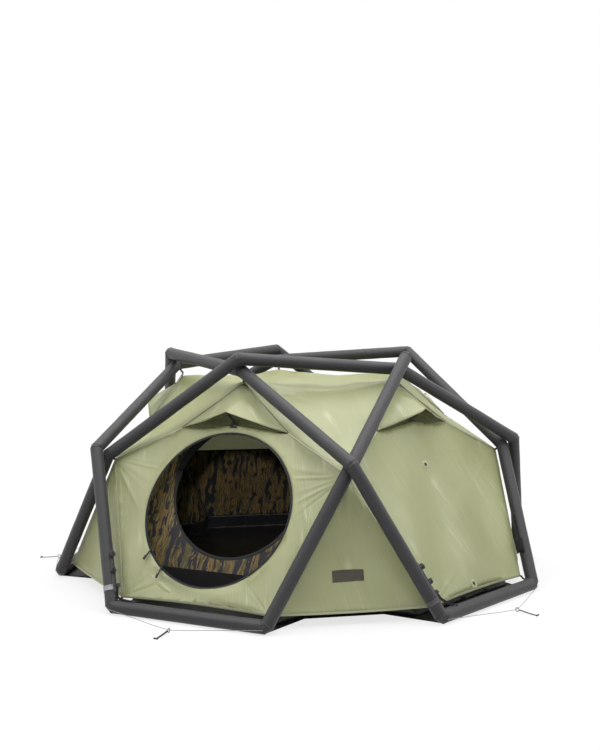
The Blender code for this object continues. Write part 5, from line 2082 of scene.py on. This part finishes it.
@dataclass(frozen=True)
class CornerTies:
    """Elastic loops and tabs that hold the flysheet's lower corners to the feet of the frame."""

    cord_radius: float = 0.0038
    half_gap: float = 0.004

    def build(self) -> None:
        """Make the ten ties."""
        for side in range(PLAN.sides):
            for hand in Hand:
                self.tie(side, hand)

    def tie(self, side: int, hand: Hand) -> None:
        """One tie: a tab on the cloth and a cord loop that reaches the tube."""
        corner, foot = OUTER.hem(side, hand), PLAN.corner(side, hand)
        name = f"{side + 1}_{hand.name.lower()}"
        tab = start_mesh()
        step = (corner - PLAN.place(side, 0, 0, 0.1)).normalized() * 0.004
        strap(tab, [corner + step * k for k in range(-2, 4)], PLAN.place(side, -hand.value, 0, 0), 0.012, 0.002, 8)
        finish_piece(f"corner_tab_{name}", tab, ORANGE_TAPE)
        bm = start_mesh()
        way = (foot - corner).normalized()
        reach = foot - way * (PLAN.tube_radius - 0.002)
        sideways = way.cross(UP).normalized() * self.half_gap
        half_way = corner.lerp(reach, 0.5) - UP * 0.006
        points = [corner + sideways, half_way + sideways * 1.4, reach, half_way - sideways * 1.4, corner - sideways]
        wire(bm, smooth_path(points, 5), self.cord_radius, 8)
        finish_piece(f"corner_cord_{name}", bm, BLACK_CORD)


@dataclass(frozen=True)
class FootStraps:
    """Webbing from each valve strip over to the floor bar, with a clip above and a hook below.

    Each path holds points given by how far along the bar, how far out and how high they are.
    """

    width: float = 0.015
    near: tuple = ((0.006, 1.352, 0.150), (0.012, 1.364, 0.128), (0.022, 1.378, 0.092), (0.052, 1.394, 0.079),
                   (0.109, 1.398, 0.0745))
    far: tuple = ((0.004, 1.350, 0.158), (0.020, 1.362, 0.142), (0.042, 1.367, 0.115), (0.080, 1.382, 0.089),
                  (0.114, 1.398, 0.0745))

    def build(self) -> None:
        """Make a strap with its clip and hook at each of the five feet."""
        for side in range(PLAN.sides):
            out = PLAN.place(side, 0, 1, 0)
            path = [PLAN.place(side, x - PLAN.bar_half, d, z) for x, d, z in (self.far if side % 2 else self.near)]
            points = smooth_path(path, 4)
            ways = [(b - a).cross(out) for a, b in zip(points, points[1:])]
            bm = start_mesh()
            strap(bm, points, [*ways, ways[-1]], self.width, 0.0022)
            finish_piece(f"foot_strap_{side + 1}", bm, WEBBING)
            bm = start_mesh()
            along = (points[4] - points[0]).normalized()
            place = aim(points[2], along.cross(out).cross(along), along)
            block(bm, place, (0.022, 0.034, 0.006), 0.0018, 2)
            for shift in (-0.006, 0.006):
                block(bm, shifted(place, 0, shift, 0.0026), (0.018, 0.004, 0.003), 0.0012, 2)
            end, step = points[-1], points[-1] - points[-3]
            wire(bm, smooth_path([end + step * reach + UP * rise for reach, rise in (
                (0.0, 0.003), (0.6, 0.006), (1.1, 0.001))], 4), 0.0036, 8, UP)
            finish_piece(f"foot_buckle_{side + 1}", bm, VALVE_PLASTIC, sharp=35.0)


def main() -> None:
    """Build the studio and dress the tent, cords first."""
    logging.basicConfig(level=logging.INFO, format="%(relativeCreated)6d %(name)s %(message)s")
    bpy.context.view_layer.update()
    bpy.context.scene.view_settings.view_transform = "Standard"
    Studio().build()
    for label, side in (("front", 0), ("right", 1), ("left", 4)):
        Guyline(label, side).build()
    AirFrame().build()
    Valves().build()
    fly = Flysheet()
    fly.build()
    Hooks().build()
    VentProps().build()
    OuterDoor(fly).build()
    inner = InnerTent()
    inner.build()
    Groundsheet(inner).build()
    Pouch().build()
    CornerTies().build()
    FootStraps().build()
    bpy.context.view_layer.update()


if __name__ == "__main__":
    main()
